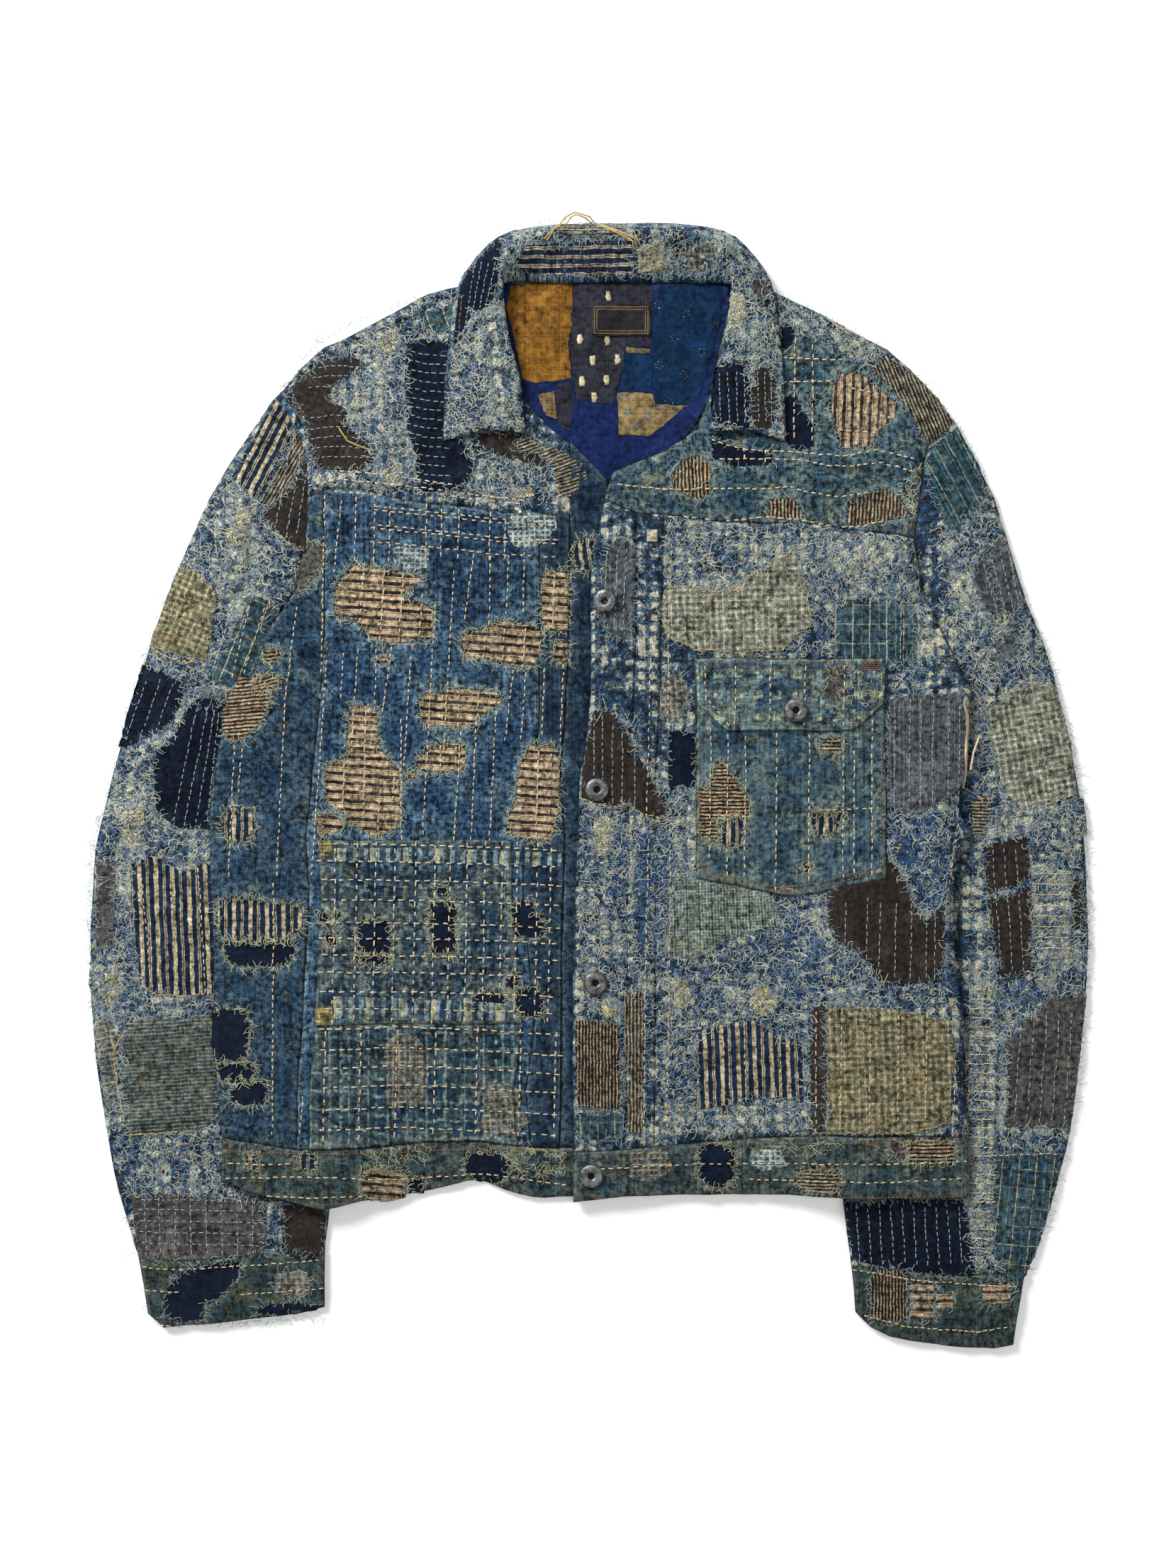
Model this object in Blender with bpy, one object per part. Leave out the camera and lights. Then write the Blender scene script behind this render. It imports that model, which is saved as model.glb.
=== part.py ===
"""A patched boro jacket laid out flat on its back, fronts up and sleeves turned down.

Lengths are in millimetres until a mesh is written. X runs across the jacket (the wearer's left
is +X), Y runs up towards the collar, Z is height above the surface that the back rests on.
"""

import math

import bmesh
import bpy
import numpy as np

MM = 0.001
WALL = 2.5
SEAM = 0.3
BACK_TO_FRONT = 2.0
EDGE_CLEARANCE = 0.4
EDGE_WALL = 2.0
SLEEVE_LIFT = 9.8
SLEEVE_RAMP = 60.0
OVERLAP_LIFT = 3.3
OVERLAP_END = 24.0
OVERLAP_RAMP = 30.0
LINING_WALL = 1.1
COLLAR_WALL = 2.2
QUILT_RISE = 0.7
BACK_YOKE_LEAST = 4.0
# Extra thickness where the cloth is folded double: the pleat, the button strip and the band beside it.
PLEAT_EXTRA = 0.9
PLACKET_EXTRA = 0.7
BAND_EXTRA = 0.3
TINY = 1e-6

DENIM = (0.075, 0.135, 0.205)
FADED_DENIM = (0.13, 0.21, 0.27)
BOUCLE = (0.16, 0.24, 0.36)
DARK_DENIM = (0.02, 0.045, 0.095)
KHAKI = (0.24, 0.23, 0.14)
DARK_WOOL = (0.035, 0.028, 0.024)
GREY_WOOL = (0.11, 0.10, 0.095)
STRIPE = (0.20, 0.17, 0.15)
TEAL = (0.05, 0.11, 0.14)
OCHRE = (0.36, 0.21, 0.06)
LABEL = (0.012, 0.012, 0.014)
ZINC = (0.33, 0.33, 0.34)

# Rows of the wearer's right front under the yoke, all in mm:
# up = height on the sheet, then the places across of the outer edge, the side panel's seam,
# the fold of the pleat and the seam of the button strip.
RIGHT_ROWS = (
    (205.0, -200.0, -187.5, -35.0, -13.5),
    (175.0, -200.5, -187.0, -35.0, -14.0),
    (139.0, -207.5, -186.5, -35.0, -14.0),
    (110.0, -226.5, -187.0, -35.0, -14.5),
    (75.0, -238.0, -189.0, -35.0, -15.5),
    (40.0, -258.0, -192.0, -35.5, -18.0),
    (5.0, -265.0, -195.0, -40.5, -20.5),
    (-37.5, -267.0, -198.5, -46.5, -17.0),
    (-75.0, -265.5, -196.5, -46.5, -18.5),
    (-115.0, -263.5, -198.5, -43.0, -19.5),
    (-167.5, -265.0, -201.5, -38.5, -19.5),
    (-210.0, -262.0, -204.5, -44.5, -19.5),
    (-246.5, -258.0, -205.5, -41.0, -21.0),
)

# Rows of the wearer's left front under the yoke, all in mm:
# up, then the places across of the front edge, the fold beside the button strip,
# the second pleat line and the outer edge.
LEFT_ROWS = (
    (176.5, 11.5, 33.0, 52.0, 230.0),
    (139.0, 1.5, 33.0, 51.5, 235.5),
    (90.5, 1.0, 33.0, 51.0, 257.5),
    (67.5, 1.5, 31.5, 50.0, 269.0),
    (40.0, -1.0, 29.5, 48.5, 263.5),
    (5.0, -7.0, 28.0, 47.0, 262.5),
    (-35.0, -8.0, 27.5, 46.5, 259.0),
    (-70.0, -9.5, 27.5, 46.5, 256.5),
    (-115.0, -11.0, 27.5, 46.5, 257.0),
    (-170.0, -11.5, 27.0, 46.5, 264.0),
    (-210.0, -11.0, 26.0, 46.5, 263.0),
    (-246.5, -11.0, 24.5, 45.5, 266.0),
)

# Armholes above the yoke seams, from the shoulder tip down: across, up.
RIGHT_ARMHOLE = ((-221.5, 275.0), (-207.5, 254.0), (-200.0, 230.0), (-200.0, 205.0))
LEFT_ARMHOLE = ((258.0, 258.0), (240.0, 240.5), (236.0, 225.5), (234.0, 205.0), (230.0, 176.5))

# Seams and edges that cross the body: across, up.
RIGHT_YOKE_SEAM = (
    (-200.0, 205.0), (-187.5, 210.0), (-174.0, 211.0), (-155.5, 208.5),
    (-130.0, 202.0), (-87.0, 198.0), (-58.0, 194.0), (-13.5, 192.5),
)
LEFT_YOKE_SEAM = (
    (11.5, 203.0), (33.0, 193.0), (53.5, 192.5), (89.0, 187.5),
    (106.5, 186.0), (150.5, 187.0), (187.0, 181.5), (230.0, 176.5),
)
RIGHT_WAIST_SEAM = (
    (-258.0, -246.5), (-235.5, -251.0), (-205.0, -255.0), (-157.0, -254.0),
    (-118.5, -250.5), (-81.5, -249.5), (-40.5, -254.0), (-20.5, -255.0), (18.0, -256.0),
)
LEFT_WAIST_SEAM = (
    (-11.0, -257.5), (53.5, -253.5), (101.0, -249.0), (152.5, -245.5), (208.0, -246.0),
    (266.0, -246.5),
)
RIGHT_HEM = (
    (-259.0, -275.0), (-245.5, -284.0), (-220.0, -290.0), (-185.0, -298.5),
    (-161.0, -292.0), (-129.5, -288.5), (-109.0, -284.5), (-79.5, -276.5),
    (-55.5, -286.5), (-35.0, -291.0), (-13.0, -289.5), (18.0, -290.0),
)
LEFT_HEM = (
    (-10.5, -293.0), (24.0, -289.0), (67.5, -288.0), (152.5, -287.5),
    (180.0, -290.0), (241.5, -289.0), (267.0, -289.5),
)
RIGHT_SHOULDER_SEAM = (
    (-221.5, 275.0), (-187.5, 303.5), (-159.5, 317.5), (-123.5, 332.5), (-95.5, 347.0),
    (-64.5, 352.0),
)
RIGHT_SHOULDER_OUTLINE = (
    (-221.5, 275.0), (-206.5, 293.0), (-187.5, 310.0), (-170.5, 318.0),
    (-136.5, 336.0), (-117.0, 347.0), (-95.5, 354.0), (-64.5, 357.5),
)
LEFT_SHOULDER_SEAM = (
    (102.5, 352.0), (130.0, 344.0), (156.5, 319.5), (177.5, 306.5), (197.5, 294.5), (258.0, 258.0),
)
LEFT_SHOULDER_OUTLINE = (
    (102.5, 357.5), (130.0, 350.5), (145.0, 343.5), (165.5, 333.0), (189.0, 320.0),
    (212.5, 308.0), (227.0, 295.0), (243.0, 278.5), (258.0, 258.0),
)

# Necklines of the two fronts, from the shoulder down: across, up.
RIGHT_NECKLINE = (
    (-64.5, 352.0), (-60.5, 328.0), (-54.5, 303.0), (-45.0, 272.0), (-26.0, 251.5), (-13.5, 244.0),
    (-13.5, 192.5),
)
LEFT_NECKLINE = (
    (102.5, 352.0), (97.0, 331.0), (91.0, 302.0), (85.0, 275.0), (76.0, 252.0),
    (54.0, 238.0), (30.0, 228.0), (17.0, 222.0), (11.5, 203.0),
)

# Outer edges of the sleeves, from the shoulder tip to the cuff seam: across, up.
RIGHT_SLEEVE_OUTER = (
    (-221.5, 275.0), (-247.5, 237.5), (-268.0, 206.0), (-284.5, 167.5), (-298.0, 135.0),
    (-313.0, 92.5), (-319.5, 68.5), (-331.0, 26.5), (-344.0, -15.5), (-351.0, -56.5),
    (-353.5, -120.0), (-351.5, -170.0), (-344.5, -225.0), (-332.5, -287.0), (-318.5, -333.5),
)
LEFT_SLEEVE_OUTER = (
    (258.0, 258.0), (274.5, 227.5), (288.5, 200.0), (298.5, 165.0), (307.5, 132.5),
    (326.0, 92.5), (332.5, 58.5), (340.5, 30.0), (348.0, -10.0), (351.0, -55.0),
    (353.5, -120.0), (349.0, -180.0), (340.0, -245.0), (327.0, -295.0), (308.5, -342.5),
)

# Inner edges of the sleeves, which lie under the body: up, across.
RIGHT_SLEEVE_INNER = (
    (205.0, -265.5), (139.0, -265.5), (110.0, -254.5), (75.0, -229.5), (55.0, -226.5),
    (35.0, -223.0), (10.0, -215.5), (-20.0, -203.0), (-52.5, -191.5), (-95.0, -183.0),
    (-135.0, -178.0), (-170.0, -176.5), (-210.0, -177.0), (-245.0, -178.5), (-285.0, -181.5),
    (-325.5, -187.0),
)
LEFT_SLEEVE_INNER = (
    (205.0, 304.5), (139.0, 304.5), (90.5, 285.5), (67.5, 259.5), (50.0, 257.0),
    (35.0, 252.0), (10.0, 242.0), (-20.0, 229.5), (-52.5, 212.0), (-95.0, 192.0),
    (-135.0, 182.5), (-170.0, 179.5), (-210.0, 178.0), (-245.0, 178.5), (-295.0, 179.5), (-338.5, 185.5),
)

# Shares of a sleeve's outer edge at its first row and across from the underarm.
SLEEVE_TIP = 0.012
SLEEVE_UNDERARM = 0.31
SLEEVE_ROWS = 9
SLEEVE_COLUMNS = 8
SLEEVE_PLUMP = 2.6
CUFF_WALL = 3.0
CUFF_PLUMP = 0.7

# Cuffs: the lower edge from the outer corner to the inner one: across, up.
RIGHT_CUFF_HEM = (
    (-311.5, -372.0), (-303.0, -383.0), (-279.0, -380.0), (-258.0, -378.0),
    (-240.5, -376.5), (-222.0, -374.5), (-205.0, -371.5), (-187.0, -367.5),
)
LEFT_CUFF_HEM = (
    (300.5, -394.0), (285.0, -397.0), (262.0, -396.0), (247.0, -394.5),
    (233.5, -392.5), (218.0, -390.0), (203.0, -386.0), (189.0, -371.0),
)
RIGHT_CUFF_SEAM_DIP = 2.5
LEFT_CUFF_SEAM_DIP = -3.0

# Soft ridges of the cloth: ends (across, up, across, up), half width, height.
CREASES = (
    (-330.0, 20.0, -262.0, 62.0, 14.0, 1.3),
    (-345.0, -70.0, -285.0, -30.0, 15.0, 1.4),
    (-343.0, -120.0, -290.0, -150.0, 14.0, 1.2),
    (-336.0, -215.0, -280.0, -185.0, 15.0, 1.3),
    (-320.0, -290.0, -275.0, -310.0, 12.0, 0.9),
    (-286.0, 190.0, -232.0, 150.0, 14.0, 1.1),
    (335.0, 65.0, 290.0, 30.0, 14.0, 1.3),
    (345.0, -40.0, 285.0, -75.0, 15.0, 1.4),
    (345.0, -140.0, 290.0, -110.0, 14.0, 1.2),
    (333.0, -230.0, 285.0, -265.0, 15.0, 1.3),
    (300.0, 120.0, 262.0, 168.0, 14.0, 1.1),
    (-175.0, 225.0, -95.0, 240.0, 14.0, 0.8),
    (140.0, 225.0, 215.0, 205.0, 14.0, 0.8),
    (62.0, -150.0, 205.0, -165.0, 13.0, 0.9),
    (225.0, -110.0, 245.0, -225.0, 13.0, 1.0),
)

# Stations of half the collar, from the front end to the centre of the back, in mm. Each has the
# neck seam, the fold, the middle of the leaf and the leaf's edge: out from the centre, up, height.
COLLAR_CENTRE = 23.0
COLLAR_LEFT_SCALE = 0.92
COLLAR_FOLD_RADIUS = 1.6
# The fold is rounder where the collar stands high: by this share, from this height, over this rise.
COLLAR_FOLD_ROUNDER = (0.6, 11.0, 14.0)
# How far the leaf bulges above and below its middle.
COLLAR_LEAF_BULGE = (0.8, 0.6)
COLLAR_STATIONS = (
    ((86.0, 251.0, 8.7), (68.5, 250.0, 10.3), (97.0, 251.5, 12.2), (125.5, 243.5, 8.9)),
    ((88.0, 268.0, 8.7), (70.5, 270.0, 10.6), (98.0, 269.0, 12.6), (125.5, 262.0, 8.9)),
    ((91.0, 288.0, 8.7), (73.0, 290.0, 10.8), (100.0, 289.0, 12.8), (125.0, 283.0, 8.9)),
    ((96.0, 320.0, 8.8), (81.0, 322.0, 11.4), (103.0, 320.0, 13.2), (121.5, 314.0, 8.9)),
    ((97.0, 343.0, 8.9), (84.0, 348.0, 13.5), (105.0, 350.0, 13.4), (117.0, 345.0, 8.9)),
    ((90.0, 353.0, 8.9), (84.0, 364.0, 18.0), (101.0, 370.0, 13.2), (110.5, 363.0, 6.4)),
    ((80.0, 356.0, 7.6), (79.0, 375.0, 22.0), (93.0, 381.5, 11.5), (98.0, 372.0, 2.0)),
    ((66.0, 357.0, 6.2), (69.0, 383.0, 24.6), (77.0, 391.0, 11.0), (72.0, 376.0, 1.2)),
    ((38.0, 357.0, 5.6), (40.0, 388.0, 25.6), (42.0, 395.9, 11.5), (40.0, 374.0, 1.2)),
    ((0.0, 357.0, 5.6), (0.0, 388.0, 25.6), (0.0, 395.9, 11.5), (0.0, 374.0, 1.2)),
)

# Lining that shows in the neck: half outlines, from the back neck down: across, up.
LINING_RIGHT_EDGE = ((-62.0, 356.0), (-60.0, 320.0), (-50.0, 275.0), (-22.0, 235.0), (0.0, 196.0))
LINING_LEFT_EDGE = ((99.5, 356.0), (98.0, 320.0), (88.0, 275.0), (55.0, 230.0), (28.0, 196.0))
LABEL_CENTRE = (22.7, 329.7)
LABEL_SIZE = (41.0, 22.0)
LABEL_WALL = 1.0

# The chest pocket: its sides, and which columns and rows of the front it covers.
POCKET_EDGES = (75.5, 208.5)
POCKET_COLUMNS = 6
POCKET_WALL = 2.0
POCKET_ROWS = (2, 7)
FLAP_ROWS = (2, 4)
POCKET_HEM = (6.0, 2.0, -3.0, -7.0, -4.0, 1.0, 6.0)
FLAP_BEVEL = 18.0
FLAP_CORNER_IN = 0.5
FLAP_GAP = 0.5

# The strip under the buttons: its hidden edge, and where that edge starts at the neck.
STRIP_OUTER = 18.0
STRIP_START = (13.0, 217.0)

# Columns of cells across the pieces of the fronts.
SIDE_COLUMNS = 3
QUILT_COLUMNS = 18
BAND_COLUMNS = 2
PLACKET_COLUMNS = 3
BESIDE_COLUMNS = 1
TOWARD_SIDE_COLUMNS = 3
# Points of an armhole from the shoulder tip down to the underarm.
ARMHOLE_POINTS = 8
# How much less of a seam's curve each further row of the net takes.
SEAM_FADE = 0.6
BACK_BAND_SHORTER = 2.0
RIGHT_HEM_END = -15.0

BUTTON_SIDES = 16
BUTTON_NEIGHBOURS = 4
# Turned profile of a ring-faced shank button: out from its axis, height.
BUTTON_PROFILE = (
    (0.0, 0.0), (6.0, 0.0), (8.0, 0.8), (8.4, 1.8), (7.2, 3.0), (5.0, 3.1), (3.4, 1.9), (0.0, 1.7),
)

# Thick sewn-on patches: panel, first and last column, first and last row, cloth.
PATCHES = (
    ("quilted_square_patch", "front_panel_right", 1, 17, 7, 10, FADED_DENIM),
    ("stitched_grid_patch", "front_panel_right", 1, 17, 10, 12, DENIM),
    ("check_patch_left_chest", "front_panel_left", 0, 3, 0, 1, KHAKI),
    ("dark_wool_patch_left_front", "front_panel_left", 5, 8, 7, 9, DARK_WOOL),
    ("tiny_check_patch_left_front", "front_panel_left", 0, 3, 7, 8, TEAL),
    ("striped_patch_left_front", "front_panel_left", 1, 4, 9, 10, STRIPE),
    ("check_patch_left_hip", "front_panel_left", 5, 8, 9, 11, KHAKI),
    ("wool_patch_right_shoulder", "yoke_right", 1, 8, 1, 4, DARK_WOOL),
    ("indigo_patch_right_yoke", "yoke_right", 9, 13, 3, 6, DARK_DENIM),
    ("check_patch_right_sleeve", "top_sleeve_right", 0, 5, 4, 7, KHAKI),
    ("striped_patch_right_sleeve", "top_sleeve_right", 1, 4, 10, 12, STRIPE),
    ("grey_patch_right_sleeve", "top_sleeve_right", 0, 5, 15, 16, GREY_WOOL),
    ("check_patch_left_sleeve", "top_sleeve_left", 1, 5, 7, 9, KHAKI),
    ("dark_wool_patch_left_sleeve", "top_sleeve_left", 2, 4, 10, 12, DARK_WOOL),
    ("grey_patch_left_sleeve", "top_sleeve_left", 0, 3, 12, 14, GREY_WOOL),
)
PATCH_WALL = 1.0


for thing in list(bpy.data.objects):
    bpy.data.objects.remove(thing, do_unlink=True)


# Reading the tables


def smooth_step(share):
    share = min(max(share, 0.0), 1.0)
    return share * share * (3.0 - 2.0 * share)


def read(table, at):
    """The second column where the first is at, with straight lines between the rows."""
    rows = sorted(table)
    return float(np.interp(at, [row[0] for row in rows], [row[1] for row in rows]))


def flat(points):
    return [np.array(point[:2], dtype=float) for point in points]


def halved(points):
    """The same straight stretches, each with its midpoint added."""
    out = [points[0]]
    for start, end in zip(points, points[1:]):
        out += [(start + end) / 2.0, end]
    return out


def resampled(points, steps):
    """Points at given shares of a line's length."""
    lengths = [0.0]
    for start, end in zip(points, points[1:]):
        lengths.append(lengths[-1] + float(np.linalg.norm(end - start)))
    axes = [[point[axis] for point in points] for axis in range(len(points[0]))]
    wanted = [step * lengths[-1] for step in steps]
    return [np.array([np.interp(at, lengths, axis) for axis in axes]) for at in wanted]


def even(count):
    return [step / count for step in range(count + 1)]


def shares(first, second):
    """How far along two facing edges each of their points lies, as one list."""
    totals = np.zeros(len(first))
    for line in (first, second):
        gaps = [0.0] + [float(np.linalg.norm(b - a)) for a, b in zip(line, line[1:])]
        run = np.cumsum(gaps)
        totals += run / max(run[-1], TINY)
    return totals / 2.0


def fill(top, bottom, left, right):
    """A net of points inside four edges: rows run from top to bottom, columns from left to right."""
    across = shares(top, bottom)
    down = shares(left, right)
    net = []
    for j, v in enumerate(down):
        row = []
        for i, u in enumerate(across):
            edges = (1 - v) * top[i] + v * bottom[i] + (1 - u) * left[j] + u * right[j]
            corners = (1 - u) * (1 - v) * top[0] + u * (1 - v) * top[-1]
            corners = corners + (1 - u) * v * bottom[0] + u * v * bottom[-1]
            row.append(edges - corners)
        net.append(row)
    return net


def trimmed(net, by=SEAM / 2.0):
    """The net with its four edges drawn in, which leaves the seam's gap to its neighbour."""
    out = [[point.copy() for point in row] for row in net]

    def pull(j, i, toward_j, toward_i):
        way = net[toward_j][toward_i] - net[j][i]
        size = float(np.linalg.norm(way))
        if size > TINY:
            out[j][i] = out[j][i] + way * (by / size)

    last_row, last_column = len(net) - 1, len(net[0]) - 1
    for i in range(last_column + 1):
        pull(0, i, 1, i)
        pull(last_row, i, last_row - 1, i)
    for j in range(last_row + 1):
        pull(j, 0, j, 1)
        pull(j, last_column, j, last_column - 1)
    return out


# Heights of the layers


def sleeve_lift(across, up):
    """How far the sleeve that lies under the body lifts it."""
    under_right = read(RIGHT_SLEEVE_INNER, up) - across
    under_left = across - read(LEFT_SLEEVE_INNER, up)
    reach = max(under_right, under_left)
    return SLEEVE_LIFT * smooth_step((reach + SLEEVE_RAMP) / SLEEVE_RAMP)


def overlap_lift(across):
    """How far the wearer's left front rides up over the right one."""
    return OVERLAP_LIFT * (1.0 - smooth_step((across - OVERLAP_END) / OVERLAP_RAMP))


def back_low(point):
    return sleeve_lift(point[0], point[1])


def right_front_low(point):
    return sleeve_lift(point[0], point[1]) + WALL + BACK_TO_FRONT


def left_front_low(point):
    return right_front_low(point) + overlap_lift(point[0])


def creases(point):
    rise = 0.0
    for x0, y0, x1, y1, half_width, height in CREASES:
        start, end = np.array((x0, y0)), np.array((x1, y1))
        along = end - start
        share = min(max(float(np.dot(point - start, along)) / float(np.dot(along, along)), 0.0), 1.0)
        away = float(np.linalg.norm(point - start - along * share))
        rise = max(rise, height * (1.0 - smooth_step(away / half_width)))
    return rise


# Making solids


def material(name, colour, roughness=0.9, metallic=0.0):
    finish = bpy.data.materials.new(name)
    finish.use_nodes = True
    shader = finish.node_tree.nodes["Principled BSDF"]
    shader.inputs["Base Color"].default_value = (*colour, 1.0)
    shader.inputs["Roughness"].default_value = roughness
    shader.inputs["Metallic"].default_value = metallic
    return finish


def solid(name, low, high, finish):
    """A closed wall between a lower and an upper net of points with the same rows and columns."""
    rows, columns = len(low), len(low[0])
    bm = bmesh.new()
    under = [[bm.verts.new(np.array(point) * MM) for point in row] for row in low]
    over = [[bm.verts.new(np.array(point) * MM) for point in row] for row in high]
    for j in range(rows - 1):
        for i in range(columns - 1):
            for net in (under, over):
                a, b, c, d = net[j][i], net[j][i + 1], net[j + 1][i + 1], net[j + 1][i]
                bm.faces.new((a, b, c))
                bm.faces.new((a, c, d))
    rim = [(0, i) for i in range(columns)]
    rim += [(j, columns - 1) for j in range(1, rows)]
    rim += [(rows - 1, i) for i in range(columns - 2, -1, -1)]
    rim += [(j, 0) for j in range(rows - 2, 0, -1)]
    for (j0, i0), (j1, i1) in zip(rim, rim[1:] + rim[:1]):
        bm.faces.new((under[j0][i0], under[j1][i1], over[j1][i1]))
        bm.faces.new((under[j0][i0], over[j1][i1], over[j0][i0]))
    bmesh.ops.recalc_face_normals(bm, faces=bm.faces)
    mesh = bpy.data.meshes.new(name)
    bm.to_mesh(mesh)
    bm.free()
    mesh.materials.append(finish)
    made = bpy.data.objects.new(name, mesh)
    bpy.context.scene.collection.objects.link(made)
    return made


def lift_net(net, height):
    """The net's points with a height from a function of their place, row and column."""
    return [
        [np.array((point[0], point[1], height(point, j, i))) for i, point in enumerate(row)]
        for j, row in enumerate(net)
    ]


def on_outer_edge(net, j, i, outer):
    last_row, last_column = len(net) - 1, len(net[0]) - 1
    return (
        ("top" in outer and j == 0)
        or ("bottom" in outer and j == last_row)
        or ("left" in outer and i == 0)
        or ("right" in outer and i == last_column)
    )


TOPS = {}


def front_piece(name, net, low, finish, wall=WALL, outer=(), relief=None):
    """A piece of a front: plain inside, its relief outside, its free edges turned down to the back."""
    place = net
    net = trimmed(net)

    def under(point, j, i):
        if on_outer_edge(net, j, i, outer):
            return back_low(place[j][i]) + WALL + EDGE_CLEARANCE
        return low(point)

    def over(point, j, i):
        if on_outer_edge(net, j, i, outer):
            return under(point, j, i) + EDGE_WALL
        return low(point) + wall + (relief(point, j, i) if relief else 0.0)

    TOPS[name] = lift_net(net, over)
    return solid(name, lift_net(net, under), TOPS[name], finish)


def on_piece(name, carrier, columns, rows, wall, finish, gap=SEAM, shape=None):
    """A piece that lies on another one, made from that one's own points, moved out."""
    cut = [row[columns[0] : columns[1] + 1] for row in TOPS[carrier][rows[0] : rows[1] + 1]]
    if shape:
        cut = shape(cut)
    low = [[point + np.array((0.0, 0.0, gap)) for point in row] for row in cut]
    TOPS[name] = [[point + np.array((0.0, 0.0, wall)) for point in row] for row in low]
    return solid(name, low, TOPS[name], finish)


# Nets of the fronts


def front_net(rows, left_column, right_column, steps, yoke_seam, waist_seam, warp=None):
    """A net between two columns of a front's table, from the yoke seam to the waist seam."""
    first, last = rows[0][0], rows[-1][0]
    net = []
    for k, row in enumerate(rows):
        line = []
        for i, step in enumerate(steps):
            across = row[left_column] * (1.0 - step) + row[right_column] * step
            near_top = max(0.0, 1.0 - SEAM_FADE * k)
            near_bottom = max(0.0, 1.0 - SEAM_FADE * (len(rows) - 1 - k))
            up = row[0] + near_top * (read(yoke_seam, across) - first)
            up += near_bottom * (read(waist_seam, across) - last)
            if warp:
                up += warp(k, i)
            line.append(np.array((across, up)))
        net.append(line)
    return net


def band_net(top_line, hem):
    """A net from a seam line down to the hem below it."""
    bottom = [np.array((point[0], read(hem, point[0]))) for point in top_line]
    middle = [(a + b) / 2.0 for a, b in zip(top_line, bottom)]
    return [top_line, middle, bottom]


def quilting(point, j, i):
    return (QUILT_RISE if i % 2 else 0.0) + creases(point)


def plain(point, j, i):
    return creases(point)


denim = material("mid denim", DENIM)
faded = material("faded denim", FADED_DENIM)
boucle = material("blue and cream boucle", BOUCLE)
dark_denim = material("dark denim", DARK_DENIM)
zinc = material("aged zinc", ZINC, 0.55, 0.8)

# Wearer's right front: side panel, quilted front, pleat band and button strip

side_net = front_net(RIGHT_ROWS, 1, 2, even(SIDE_COLUMNS), RIGHT_YOKE_SEAM, RIGHT_WAIST_SEAM)
right_net = front_net(RIGHT_ROWS, 2, 3, even(QUILT_COLUMNS), RIGHT_YOKE_SEAM, RIGHT_WAIST_SEAM)
right_band_net = front_net(RIGHT_ROWS, 3, 4, even(BAND_COLUMNS), RIGHT_YOKE_SEAM, RIGHT_WAIST_SEAM)
front_piece("side_panel_right", side_net, right_front_low, faded, outer=("left",), relief=plain)
front_piece("front_panel_right", right_net, right_front_low, denim, relief=quilting)
front_piece("front_band_right", right_band_net, right_front_low, denim, wall=WALL + PLEAT_EXTRA)

strip_left = [np.array(RIGHT_NECKLINE[-2])] + [line[-1] for line in right_band_net]
strip_right = [np.array(STRIP_START)]
strip_right += [np.array((STRIP_OUTER, line[-1][1])) for line in right_band_net]
strip_net = [[a, (a + b) / 2.0, b] for a, b in zip(strip_left, strip_right)]
front_piece("placket_right", strip_net, right_front_low, dark_denim)

# Wearer's left front: button strip, pleat, front, with the chest pocket on it

left_strip_net = front_net(LEFT_ROWS, 1, 2, even(PLACKET_COLUMNS), LEFT_YOKE_SEAM, LEFT_WAIST_SEAM)
left_band_net = front_net(LEFT_ROWS, 2, 3, even(BAND_COLUMNS), LEFT_YOKE_SEAM, LEFT_WAIST_SEAM)


def left_front_rows():
    rows = []
    for up, _edge, _fold, pleat, outer in LEFT_ROWS:
        rows.append((up, pleat, POCKET_EDGES[0], POCKET_EDGES[1], outer))
    return rows


def pocket_tip(k, i):
    return POCKET_HEM[i] if k == POCKET_ROWS[1] else 0.0


left_rows = left_front_rows()
left_seams = (LEFT_YOKE_SEAM, LEFT_WAIST_SEAM)
beside = front_net(left_rows, 1, 2, even(BESIDE_COLUMNS), *left_seams)
under_pocket = front_net(left_rows, 2, 3, even(POCKET_COLUMNS), *left_seams, pocket_tip)
toward_side = front_net(left_rows, 3, 4, even(TOWARD_SIDE_COLUMNS), *left_seams)
left_net = [a[:-1] + b + c[1:] for a, b, c in zip(beside, under_pocket, toward_side)]

front_piece("placket_left", left_strip_net, left_front_low, boucle, wall=WALL + PLACKET_EXTRA)
front_piece("front_band_left", left_band_net, left_front_low, boucle, wall=WALL + BAND_EXTRA)
front_piece("front_panel_left", left_net, left_front_low, boucle, outer=("right",), relief=plain)

pocket_columns = (BESIDE_COLUMNS, BESIDE_COLUMNS + POCKET_COLUMNS)
on_piece("chest_pocket", "front_panel_left", pocket_columns, POCKET_ROWS, POCKET_WALL, faded)


def bevelled_flap(cut):
    """The flap's net with its two lower corners cut off."""
    cut = [[point.copy() for point in row] for row in cut]
    for end, inward in ((0, 1.0), (-1, -1.0)):
        cut[-1][end][1] += FLAP_BEVEL
        cut[-1][end][0] += inward * FLAP_CORNER_IN
    return cut


flap_rows = (FLAP_ROWS[0] - POCKET_ROWS[0], FLAP_ROWS[1] - POCKET_ROWS[0])
flap_columns = (0, POCKET_COLUMNS)
on_piece(
    "pocket_flap", "chest_pocket", flap_columns, flap_rows, POCKET_WALL, faded, FLAP_GAP, bevelled_flap
)

# Yokes, which run from the shoulder seams to the yoke seams

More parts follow.
